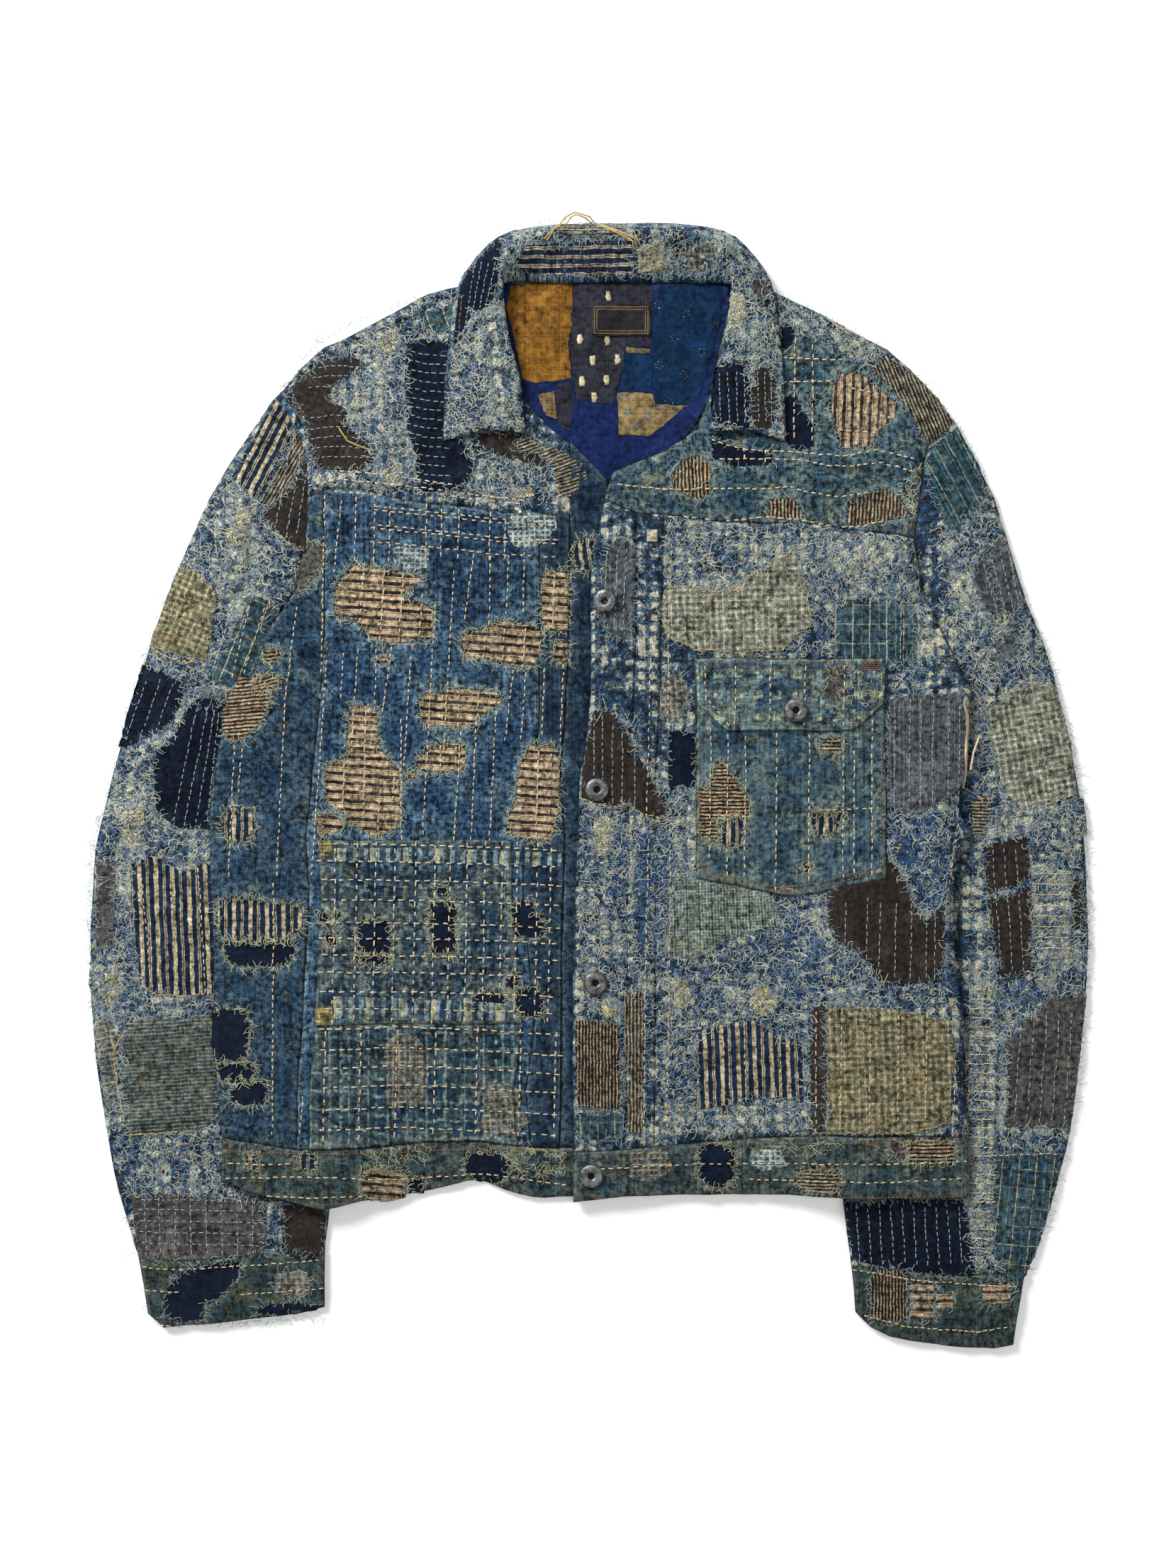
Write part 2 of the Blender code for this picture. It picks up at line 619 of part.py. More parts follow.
right_bottom = side_net[0] + right_net[0][1:] + right_band_net[0][1:]
right_left = halved(flat(RIGHT_ARMHOLE))
right_top = resampled(flat(RIGHT_SHOULDER_SEAM), shares(right_bottom, right_bottom))
right_right = flat(RIGHT_NECKLINE)
front_piece(
    "yoke_right", fill(right_top, right_bottom, right_left, right_right), right_front_low, boucle,
    outer=("left",), relief=plain,
)

left_bottom = left_strip_net[0] + left_band_net[0][1:] + left_net[0][1:]
left_left = flat(LEFT_NECKLINE)
left_right = halved(flat(LEFT_ARMHOLE))
left_top = resampled(flat(LEFT_SHOULDER_SEAM), shares(left_bottom, left_bottom))
front_piece(
    "yoke_left", fill(left_top, left_bottom, left_left, left_right), left_front_low, boucle,
    outer=("right",), relief=plain,
)

# Back yoke, which comes over the shoulders to the shoulder seams

for side, outline, seam_line in (
    ("right", RIGHT_SHOULDER_OUTLINE, right_top),
    ("left", LEFT_SHOULDER_OUTLINE, left_top),
):
    bottom = [point for point in seam_line if read(outline, point[0]) - point[1] > BACK_YOKE_LEAST]
    top = [np.array((point[0], read(outline, point[0]))) for point in bottom]
    front_piece("back_yoke_" + side, [top, bottom], right_front_low, boucle, outer=("top",))

# Waistbands on the fronts

right_seam = side_net[-1] + right_net[-1][1:] + right_band_net[-1][1:] + strip_net[-1][1:]
front_piece(
    "waistband_right", band_net(right_seam, RIGHT_HEM), right_front_low, faded,
    outer=("left", "bottom"),
)
left_seam = left_strip_net[-1] + left_band_net[-1][1:] + left_net[-1][1:]
front_piece(
    "waistband_left", band_net(left_seam, LEFT_HEM), left_front_low, faded,
    wall=WALL + PLACKET_EXTRA, outer=("right",),
)

# Back panel and its waistband, flat on the surface and lifted over the sleeves

back_left = flat(RIGHT_ARMHOLE) + [line[0] for line in side_net[1:]]
back_right = flat(LEFT_ARMHOLE) + [line[-1] for line in left_net[1:]]
BACK_TOP = RIGHT_SHOULDER_OUTLINE + LEFT_SHOULDER_OUTLINE

# Under the yokes its rows are the fronts' own rows, so that the layers follow each other closely.
back_rows = [
    side_line + right_line[2::2] + left_line
    for side_line, right_line, left_line in zip(side_net[1:], right_net[1:], left_net)
]
top_width = LEFT_ARMHOLE[0][0] - RIGHT_ARMHOLE[0][0]
back_top = []
for share in shares(back_rows[0], back_rows[0]):
    across = RIGHT_ARMHOLE[0][0] + top_width * share
    back_top.append(np.array((across, read(BACK_TOP, across))))
shoulder_rows = len(RIGHT_ARMHOLE) + 1
upper_back = fill(back_top, back_rows[0], back_left[:shoulder_rows], back_right[:shoulder_rows])
back_net = trimmed(upper_back + back_rows[1:])
back_bottom = back_rows[-1]
hem_line = [point for point in RIGHT_HEM if point[0] < RIGHT_HEM_END] + list(LEFT_HEM[1:])
back_hem = [(across, up + BACK_BAND_SHORTER) for across, up in hem_line]
back_band_net = trimmed(band_net(back_bottom, back_hem))
for name, net, finish in (
    ("back_panel", back_net, boucle),
    ("back_waistband", back_band_net, faded),
):
    low = lift_net(net, lambda point, j, i: back_low(point))
    high = lift_net(net, lambda point, j, i: back_low(point) + WALL)
    solid(name, low, high, finish)

# Sleeves, each an under half on the surface and a top half over it, and their cuffs


def sleeve(side, armhole, outer_line, inner_table, cuff_hem, seam_dip):
    armhole_rows = len(armhole) - 1
    upper = [SLEEVE_TIP + (SLEEVE_UNDERARM - SLEEVE_TIP) * step for step in even(armhole_rows)]
    lower = [SLEEVE_UNDERARM + (1.0 - SLEEVE_UNDERARM) * step for step in even(SLEEVE_ROWS)]
    outer = resampled(flat(outer_line), upper + lower[1:])
    hidden = [np.array((x, y)) for y, x in sorted(inner_table, reverse=True) if y <= armhole[-1][1]]
    inner = armhole[:-1] + resampled(hidden, even(SLEEVE_ROWS))
    steps = even(SLEEVE_COLUMNS)
    net = [[a * (1.0 - step) + b * step for step in steps] for a, b in zip(outer, inner)]
    for point, step in zip(net[-1], steps):
        point[1] += seam_dip * math.sin(math.pi * step)
    cuff_seam = net[-1]
    net = trimmed(net)

    def plump(i, count):
        share = i / count
        return SLEEVE_PLUMP * 2.0 * math.sqrt(share * (1.0 - share))

    def top_low(point, j, i):
        return WALL + EDGE_CLEARANCE + plump(i, SLEEVE_COLUMNS)

    def top_high(point, j, i):
        if i in (0, SLEEVE_COLUMNS):
            return top_low(point, j, i) + EDGE_WALL
        return top_low(point, j, i) + WALL + creases(point)

    under_name, top_name = "under_sleeve_" + side, "top_sleeve_" + side
    low = lift_net(net, lambda point, j, i: 0.0)
    solid(under_name, low, lift_net(net, lambda point, j, i: WALL), boucle)
    TOPS[top_name] = lift_net(net, top_high)
    solid(top_name, lift_net(net, top_low), TOPS[top_name], boucle)

    hem = resampled(flat(cuff_hem), steps)
    cuff_net = trimmed([cuff_seam, [(a + b) / 2.0 for a, b in zip(cuff_seam, hem)], hem])
    low = lift_net(cuff_net, lambda point, j, i: 0.0)
    solid("under_cuff_" + side, low, lift_net(cuff_net, lambda point, j, i: CUFF_WALL), faded)

    def cuff_low(point, j, i):
        at_hem = j == len(cuff_net) - 1
        return CUFF_WALL + SEAM + (0.0 if at_hem else CUFF_PLUMP * plump(i, SLEEVE_COLUMNS))

    low = lift_net(cuff_net, cuff_low)
    high = lift_net(cuff_net, lambda point, j, i: cuff_low(point, j, i) + CUFF_WALL)
    solid("cuff_" + side, low, high, faded)


sleeve(
    "right", back_left[:ARMHOLE_POINTS], RIGHT_SLEEVE_OUTER, RIGHT_SLEEVE_INNER, RIGHT_CUFF_HEM,
    RIGHT_CUFF_SEAM_DIP,
)
sleeve(
    "left", back_right[:ARMHOLE_POINTS], LEFT_SLEEVE_OUTER, LEFT_SLEEVE_INNER, LEFT_CUFF_HEM,
    LEFT_CUFF_SEAM_DIP,
)

# Collar: a stand from the neck seam to the fold, and the leaf that turns down outside it


def collar_section(seam, fold, belly, edge):
    """Points across the collar, from the neck seam round the fold to the leaf's edge."""
    to_seam = (seam - fold) / np.linalg.norm(seam - fold)
    to_leaf = (belly - fold) / np.linalg.norm(belly - fold)
    inward = (to_seam + to_leaf) / np.linalg.norm(to_seam + to_leaf)
    leafward = (to_leaf - to_seam) / np.linalg.norm(to_leaf - to_seam)
    rounder, from_height, over_rise = COLLAR_FOLD_ROUNDER
    radius = COLLAR_FOLD_RADIUS * (1.0 + rounder * smooth_step((fold[2] - from_height) / over_rise))
    turn_in = fold + radius * (inward - leafward)
    turn_out = fold + radius * (inward + leafward)
    upper = (turn_out + belly) / 2.0 + leafward * COLLAR_LEAF_BULGE[0]
    lower = (belly + edge) / 2.0 + leafward * COLLAR_LEAF_BULGE[1]
    return [seam, (seam + turn_in) / 2.0, turn_in, fold, turn_out, upper, belly, lower, edge]


def collar_lines():
    half = []
    for station in COLLAR_STATIONS:
        half.append([np.array(point) for point in station])
    right = [[np.array((COLLAR_CENTRE - p[0], p[1], p[2])) for p in station] for station in half]
    scale = COLLAR_LEFT_SCALE
    left = [[np.array((COLLAR_CENTRE + scale * p[0], p[1], p[2])) for p in station] for station in half]
    return right + left[-2::-1]


def between(stations):
    """The stations with one more, on a smooth curve, in the middle of each gap."""
    count = len(stations)
    out = []
    for k in range(count - 1):
        a, b = stations[max(k - 1, 0)], stations[k]
        c, d = stations[k + 1], stations[min(k + 2, count - 1)]
        middle = [(9.0 * (q + r) - (p + s)) / 16.0 for p, q, r, s in zip(a, b, c, d)]
        out += [b, middle]
    return out + [stations[-1]]


def thickened(net, wall):
    """Two nets half a wall to each side of a net."""
    rows, columns = len(net), len(net[0])
    one, other = [], []
    for j in range(rows):
        one.append([])
        other.append([])
        for i in range(columns):
            along = net[min(j + 1, rows - 1)][i] - net[max(j - 1, 0)][i]
            across = net[j][min(i + 1, columns - 1)] - net[j][max(i - 1, 0)]
            normal = np.cross(along, across)
            normal = normal / np.linalg.norm(normal)
            one[-1].append(net[j][i] - normal * wall / 2.0)
            other[-1].append(net[j][i] + normal * wall / 2.0)
    return one, other


collar_net = [collar_section(*station) for station in between(collar_lines())]
inside, outside = thickened(collar_net, COLLAR_WALL)
solid("collar", inside, outside, boucle)

# Lining in the neck, with a bare woven label on it

lining_steps = even(8)
lining_left = resampled(flat(LINING_RIGHT_EDGE), even(6))
lining_right = resampled(flat(LINING_LEFT_EDGE), even(6))
lining_net = fill(
    resampled([lining_left[0], lining_right[0]], lining_steps),
    resampled([lining_left[-1], lining_right[-1]], lining_steps),
    lining_left, lining_right,
)
low = lift_net(lining_net, lambda point, j, i: WALL + SEAM)
high = lift_net(lining_net, lambda point, j, i: WALL + SEAM + LINING_WALL)
solid("neck_lining", low, high, material("ochre lining", OCHRE))

label_net = [
    [
        np.array((LABEL_CENTRE[0] + u * LABEL_SIZE[0], LABEL_CENTRE[1] - v * LABEL_SIZE[1]))
        for u in (-0.5, 0.0, 0.5)
    ]
    for v in (-0.5, 0.5)
]
label_low = WALL + SEAM + LINING_WALL + SEAM
low = lift_net(label_net, lambda point, j, i: label_low)
high = lift_net(label_net, lambda point, j, i: label_low + LABEL_WALL)
solid("neck_label", low, high, material("black woven label", LABEL))

# Sewn-on patches

for name, carrier, first_column, last_column, first_row, last_row, colour in PATCHES:
    finish = material(name + " cloth", colour)
    on_piece(name, carrier, (first_column, last_column), (first_row, last_row), PATCH_WALL, finish)


# Buttons


def button(name, across, up, seat):
    """A turned shank button with a ring face, whose back is at the height seat."""
    bm = bmesh.new()
    ring = [bm.verts.new((out * MM, 0.0, height * MM)) for out, height in BUTTON_PROFILE]
    edges = [bm.edges.new(pair) for pair in zip(ring, ring[1:])]
    bmesh.ops.spin(
        bm, geom=ring + edges, cent=(0, 0, 0), axis=(0, 0, 1), angle=2.0 * math.pi,
        steps=BUTTON_SIDES, use_merge=True,
    )
    bmesh.ops.remove_doubles(bm, verts=bm.verts, dist=TINY)
    bmesh.ops.recalc_face_normals(bm, faces=bm.faces)
    bmesh.ops.translate(bm, verts=bm.verts, vec=(across * MM, up * MM, seat * MM))
    mesh = bpy.data.meshes.new(name)
    bm.to_mesh(mesh)
    bm.free()
    mesh.shade_smooth()
    mesh.materials.append(zinc)
    bpy.context.scene.collection.objects.link(bpy.data.objects.new(name, mesh))


def seat_on(carrier, across, up):
    """Height for a button's back: over the piece's points nearest to it, with the seam's gap."""
    points = [point for row in TOPS[carrier] for point in row]
    points.sort(key=lambda point: math.hypot(point[0] - across, point[1] - up))
    return max(point[2] for point in points[:BUTTON_NEIGHBOURS]) + SEAM


BUTTONS = (
    ("button_chest", "placket_left", 10.8, 131.0),
    ("button_belly", "placket_left", 5.5, -2.0),
    ("button_hip", "placket_left", 4.5, -138.0),
    ("button_waist", "waistband_left", 1.5, -274.0),
    ("button_pocket", "pocket_flap", 145.5, 54.0),
)
for name, carrier, across, up in BUTTONS:
    button(name, across, up, seat_on(carrier, across, up))
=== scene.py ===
import math
import random

import bmesh
import bpy
import numpy as np
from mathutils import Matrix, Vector, kdtree, noise
from mathutils.bvhtree import BVHTree


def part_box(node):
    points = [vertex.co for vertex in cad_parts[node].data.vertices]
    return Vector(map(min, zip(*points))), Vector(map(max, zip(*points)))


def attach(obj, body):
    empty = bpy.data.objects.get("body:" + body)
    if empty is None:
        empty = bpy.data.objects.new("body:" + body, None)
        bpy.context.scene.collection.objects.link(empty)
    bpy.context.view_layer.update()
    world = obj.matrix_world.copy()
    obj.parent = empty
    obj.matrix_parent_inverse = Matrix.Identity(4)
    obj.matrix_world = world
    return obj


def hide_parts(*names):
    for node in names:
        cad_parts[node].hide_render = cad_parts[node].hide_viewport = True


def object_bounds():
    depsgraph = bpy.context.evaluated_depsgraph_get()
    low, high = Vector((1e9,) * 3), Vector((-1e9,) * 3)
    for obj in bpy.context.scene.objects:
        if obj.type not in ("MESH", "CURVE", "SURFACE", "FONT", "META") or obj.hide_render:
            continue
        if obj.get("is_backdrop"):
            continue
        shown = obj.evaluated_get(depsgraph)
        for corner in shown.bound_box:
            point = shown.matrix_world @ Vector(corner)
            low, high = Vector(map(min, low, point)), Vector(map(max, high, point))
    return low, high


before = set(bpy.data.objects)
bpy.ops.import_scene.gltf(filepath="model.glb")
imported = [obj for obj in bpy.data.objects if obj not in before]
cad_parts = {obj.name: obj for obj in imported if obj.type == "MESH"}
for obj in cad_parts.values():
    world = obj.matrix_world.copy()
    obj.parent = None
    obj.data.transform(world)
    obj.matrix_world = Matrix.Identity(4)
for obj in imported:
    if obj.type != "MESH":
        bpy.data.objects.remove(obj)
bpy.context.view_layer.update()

# The back: its large panel of looped weave, its waistband, and the strips of back yoke that come
# over the shoulders. It lies flat on the surface, and the fronts hide all but its edges.
# Every weave is drawn in millimetres on each piece's own map of its cut.

chance = random.Random(11)


class Signal:
    """A socket in a node tree, on which sums are made with Math nodes."""

    def __init__(self, tree, socket):
        self.tree = tree
        self.socket = socket

    def do(self, operation, *others):
        made = self.tree.nodes.new("ShaderNodeMath")
        made.operation = operation
        for slot, value in enumerate((self, *others)):
            if isinstance(value, Signal):
                self.tree.links.new(value.socket, made.inputs[slot])
            else:
                made.inputs[slot].default_value = value
        return Signal(self.tree, made.outputs[0])

    def __add__(self, other):
        return self.do("ADD", other)

    def __sub__(self, other):
        return self.do("SUBTRACT", other)

    def __mul__(self, other):
        return self.do("MULTIPLY", other)

    def __truediv__(self, other):
        return self.do("DIVIDE", other)

    def part(self):
        return self.do("FRACT")

    def ramp(self, low, high):
        """0 below low, 1 above high and smooth between them."""
        made = joined(self.tree, "MapRange", Value=self, From_Min=low, From_Max=high)
        made.interpolation_type = "SMOOTHSTEP"
        return Signal(self.tree, made.outputs["Result"])


def joined(tree, node, **inputs):
    """A node, new if its kind is named, with inputs linked or set: underscores are spaces."""
    if isinstance(node, str):
        node = tree.nodes.new("ShaderNode" + node)
    for name, value in inputs.items():
        socket = node.inputs[name.replace("_", " ")]
        if isinstance(value, Signal):
            tree.links.new(value.socket, socket)
        else:
            socket.default_value = value
    return node


def cloud(tree, place, scale, detail=3, rough=0.55, stretch=None, distortion=0):
    """Soft noise, 0 to 1, of lumps 1 / scale millimetres wide."""
    if stretch:
        place = Signal(tree, joined(tree, "Mapping", Vector=place, Scale=stretch).outputs["Vector"])
    made = joined(
        tree, "TexNoise", Vector=place, Scale=scale, Detail=detail, Roughness=rough, Distortion=distortion
    )
    return Signal(tree, made.outputs["Fac"])


def dice(tree, across, up):
    """A number from 0 to 1 for each whole pair of numbers."""
    pair = Signal(tree, joined(tree, "CombineXYZ", X=across, Y=up).outputs[0])
    return Signal(tree, joined(tree, "TexWhiteNoise", Vector=pair).outputs["Value"])


def dye(tree, share, first, second):
    """A colour between two others."""
    made = tree.nodes.new("ShaderNodeMix")
    made.data_type = "RGBA"
    tree.links.new(share.socket, made.inputs[0])
    for slot, value in ((6, first), (7, second)):
        if isinstance(value, Signal):
            tree.links.new(value.socket, made.inputs[slot])
        else:
            made.inputs[slot].default_value = (*value, 1)
    return Signal(tree, made.outputs[2])


def shade(code):
    """A colour in linear light from its six-figure code."""
    parts = [int(code[k : k + 2], 16) / 255 for k in (0, 2, 4)]
    return tuple(((c + 0.055) / 1.055) ** 2.4 if c > 0.04 else c / 12.92 for c in parts)


def shades(codes):
    return [shade(code) for code in codes.split()]


def group(name, inputs, outputs):
    """An empty node group with named sockets: its tree, its input signals and its output node."""
    tree = bpy.data.node_groups.new(name, "ShaderNodeTree")
    for socket, value in inputs.items():
        kind = "NodeSocketVector" if value is None else "NodeSocketFloat"
        made = tree.interface.new_socket(socket, in_out="INPUT", socket_type=kind)
        if value is not None:
            made.default_value = value
    for socket in outputs:
        tree.interface.new_socket(socket, in_out="OUTPUT", socket_type="NodeSocketFloat")
    start = tree.nodes.new("NodeGroupInput")
    end = tree.nodes.new("NodeGroupOutput")
    return tree, {socket: Signal(tree, start.outputs[socket]) for socket in inputs}, end


def placed(tree, name, **inputs):
    """A group put in a tree, with its inputs joined. Its outputs are signals by name."""
    made = tree.nodes.new("ShaderNodeGroup")
    made.node_tree = bpy.data.node_groups[name]
    joined(tree, made, **inputs)
    return {socket.name: Signal(tree, socket) for socket in made.outputs}


def split(tree, place):
    made = joined(tree, "SeparateXYZ", Vector=place)
    return Signal(tree, made.outputs["X"]), Signal(tree, made.outputs["Y"])


# Woven threads: which of two crossing threads lies on top, how high it stands, and its own tone.
tree, given, end = group(
    "Woven threads", {"Place": None, "Thread": 0.8, "Twill": 0}, ("Warp", "Height", "Tone")
)
across, up = split(tree, given["Place"])
across, up = across / given["Thread"], up / given["Thread"]
column, row = across.do("FLOOR"), up.do("FLOOR")
plain = ((column + row) * 0.5).part().do("GREATER_THAN", 0.25)
twilled = ((column + row) * 0.3333).part().do("GREATER_THAN", 0.2)
warp = plain * (given["Twill"] * -1 + 1) + twilled * given["Twill"]
from_warp = (across.part() - 0.5).do("ABSOLUTE") * -2 + 1
from_weft = (up.part() - 0.5).do("ABSOLUTE") * -2 + 1
height = warp * from_warp + (warp * -1 + 1) * from_weft * 0.8
tone = warp * dice(tree, column, 3) + (warp * -1 + 1) * dice(tree, row, 7)
joined(tree, end, Warp=warp, Height=height, Tone=tone)

# Lines of a stripe or check: a mask of lines that stand a pitch apart across the cloth.
tree, given, end = group(
    "Woven lines", {"Along": 0, "Pitch": 5, "Width": 1, "Shift": 0, "Wobble": 0}, ("Line",)
)
place = (given["Along"] + given["Shift"] + given["Wobble"]) / given["Pitch"]
away = (place.part() - 0.5).do("ABSOLUTE") * given["Pitch"]
joined(tree, end, Line=(away - given["Width"] * 0.5).ramp(0.1, -0.1))

# Age: where the dye has gone, in clouds and in streaks along the threads, and where it is stained.
tree, given, end = group(
    "Age of cloth", {"Place": None, "Fade": 0.4, "Stain": 0.1, "Seed": 0}, ("Faded", "Stained", "Rubbed")
)
moved = tree.nodes.new("ShaderNodeVectorMath")
moved.operation = "ADD"
tree.links.new(given["Place"].socket, moved.inputs[0])
tree.links.new(given["Seed"].socket, moved.inputs[1])
place = Signal(tree, moved.outputs["Vector"])
clouds = cloud(tree, place, 0.045, 4, 0.6)
streaks = cloud(tree, place, 0.35, 3, 0.6, stretch=(1, 0.18, 1))
cross = cloud(tree, place, 0.3, 3, 0.6, stretch=(0.2, 1, 1))
rubbed = (cloud(tree, place, 0.9, 4, 0.75) - 0.5) * 1.6
faded = (clouds - 0.5) * 2.4 + (streaks - 0.5) * 1.4 + (cross - 0.5) * 1.1 + rubbed * 0.5 + given["Fade"]
stained = cloud(tree, place, 0.05, 5, 0.7) - 0.66 + given["Stain"]
joined(
    tree, end, Faded=faded.ramp(-0.3, 1.3), Stained=stained.ramp(0, 0.12), Rubbed=rubbed.ramp(0.15, 0.75)
)


def new_finish(name, slot, **inputs):
    """A material with its shader's inputs set: it, its tree and its shader. The slot is not used."""
    made = bpy.data.materials.new(name)
    made.use_nodes = True
    shader = joined(made.node_tree, made.node_tree.nodes["Principled BSDF"], **inputs)
    return made, made.node_tree, shader


def dressed(tree, shader, colour, height, strength, distance, light=None):
    """Joins a colour, with painted shade where it lies low when a light is given, and a bump to a shader.
    """
    if light:
        scaled = tree.nodes.new("ShaderNodeVectorMath")
        scaled.operation = "SCALE"
        tree.links.new(colour.socket, scaled.inputs[0])
        tree.links.new(light.socket, scaled.inputs["Scale"])
        colour = Signal(tree, scaled.outputs["Vector"])
    raised = joined(tree, "Bump", Strength=strength, Distance=distance, Height=height)
    joined(tree, shader, Base_Color=colour, Normal=Signal(tree, raised.outputs["Normal"]))


def cut_place(tree):
    made = tree.nodes.new("ShaderNodeUVMap")
    made.uv_map = "cut"
    return Signal(tree, made.outputs["UV"])


# A mesh's rim value: pale rubbed wear on cloth, and painted shade right at the rim of cloth and in the
# hollow and under the rim of buttons.
def wear_and_shade_of(tree):
    made = tree.nodes.new("ShaderNodeAttribute")
    made.attribute_name = "wear"
    return Signal(tree, made.outputs["Fac"])


def cloth(
    name, slot, codes, thread=0.6, twill=0, lines=(), fade=0, stain=0, stained="7c734f", bump=0.5,
    sheen=0.04, roughness=0.95, seed=0, rub=0.5, blocks=(), slub=0.5,
):
    """A worn woven cloth, its codes for warp, weft and faded places. Lines are rows of: 0 for up
    the cloth or 1 for across it, pitch, shift, width, colour. Blocks are rows of: pitch across,
    pitch up, width, height, colour, for squares where the dye has gone. All in millimetres."""
    made, tree, shader = new_finish(
        name, slot, Sheen_Weight=sheen, Sheen_Roughness=0.5, Specular_IOR_Level=0.12, Roughness=roughness
    )
    warp, weft, faded = shades(codes)
    place = cut_place(tree)
    wobble = (cloud(tree, place, 0.12, 2) - 0.5) * 2.2
    across, up = split(tree, place)
    woven = placed(tree, "Woven threads", Place=place, Thread=thread, Twill=twill)
    aged = placed(tree, "Age of cloth", Place=place, Fade=fade, Stain=stain, Seed=seed)
    tone = woven["Tone"]
    colour = dye(tree, woven["Warp"], weft, warp)
    for way, pitch, shift, width, line_code in lines:
        sizes = {"Pitch": pitch, "Shift": shift, "Width": width, "Wobble": wobble}
        line = placed(tree, "Woven lines", Along=up if way else across, **sizes)["Line"]
        colour = dye(tree, line * ((tone - 0.5) * 0.3 + 0.95), colour, shade(line_code))
    for pitch_across, pitch_up, wide, tall, block_code in blocks:
        column = placed(tree, "Woven lines", Along=across, Pitch=pitch_across, Width=wide, Wobble=wobble)
        row = placed(tree, "Woven lines", Along=up, Pitch=pitch_up, Width=tall, Wobble=wobble)
        patchy = cloud(tree, place, 0.16, 4, 0.7).ramp(0.36, 0.6)
        mask = column["Line"] * row["Line"] * patchy * ((tone - 0.5) * 0.6 + 0.75)
        colour = dye(tree, mask, colour, shade(block_code))
    colour = dye(tree, aged["Faded"] * 0.8, colour, faded)
    colour = dye(tree, aged["Stained"] * 0.42, colour, shade(stained))
    edge = wear_and_shade_of(tree)
    worn = edge * (aged["Rubbed"] * 0.9 + 0.35) + aged["Rubbed"] * rub * 0.25
    colour = dye(tree, worn.do("MINIMUM", 0.9), colour, tuple(min(1, c * 1.35 + 0.06) for c in faded))
    # Soft creases: a bump, and painted shade in their valleys.
    crease_bump_and_shade = cloud(tree, place, 0.1, 2, 0.5, distortion=1.2)
    slubs = cloud(tree, place, 0.8, 3, 0.7, stretch=(1, 0.05, 1)) - 0.5
    slubs = slubs + (cloud(tree, place, 0.8, 3, 0.7, stretch=(0.05, 1, 1)) - 0.5) * 0.7
    mottle = cloud(tree, place, 0.28, 4, 0.75) - 0.5
    # How light each place is: random tone of threads, slubs and mottling, and painted shade where threads
    # lie low.
    light = (tone - 0.5) * 0.6 + woven["Height"] * 0.6 + slubs * slub * 1.8 + mottle * (2.6 + 6.4 * slub)
    # Painted seam shade: a dark line right at the rim of each piece.
    painted_seam_shade = edge.ramp(0.64, 0.86) * -0.6 + 1
    light = (light + (crease_bump_and_shade - 0.5) * 2.2 + 0.6).do("MAXIMUM", 0.12) * painted_seam_shade
    height = woven["Height"] + aged["Rubbed"] * 0.8 + slubs + crease_bump_and_shade * 3 + mottle * 3 * slub
    dressed(tree, shader, colour, height, bump, 0.001, light)
    return made


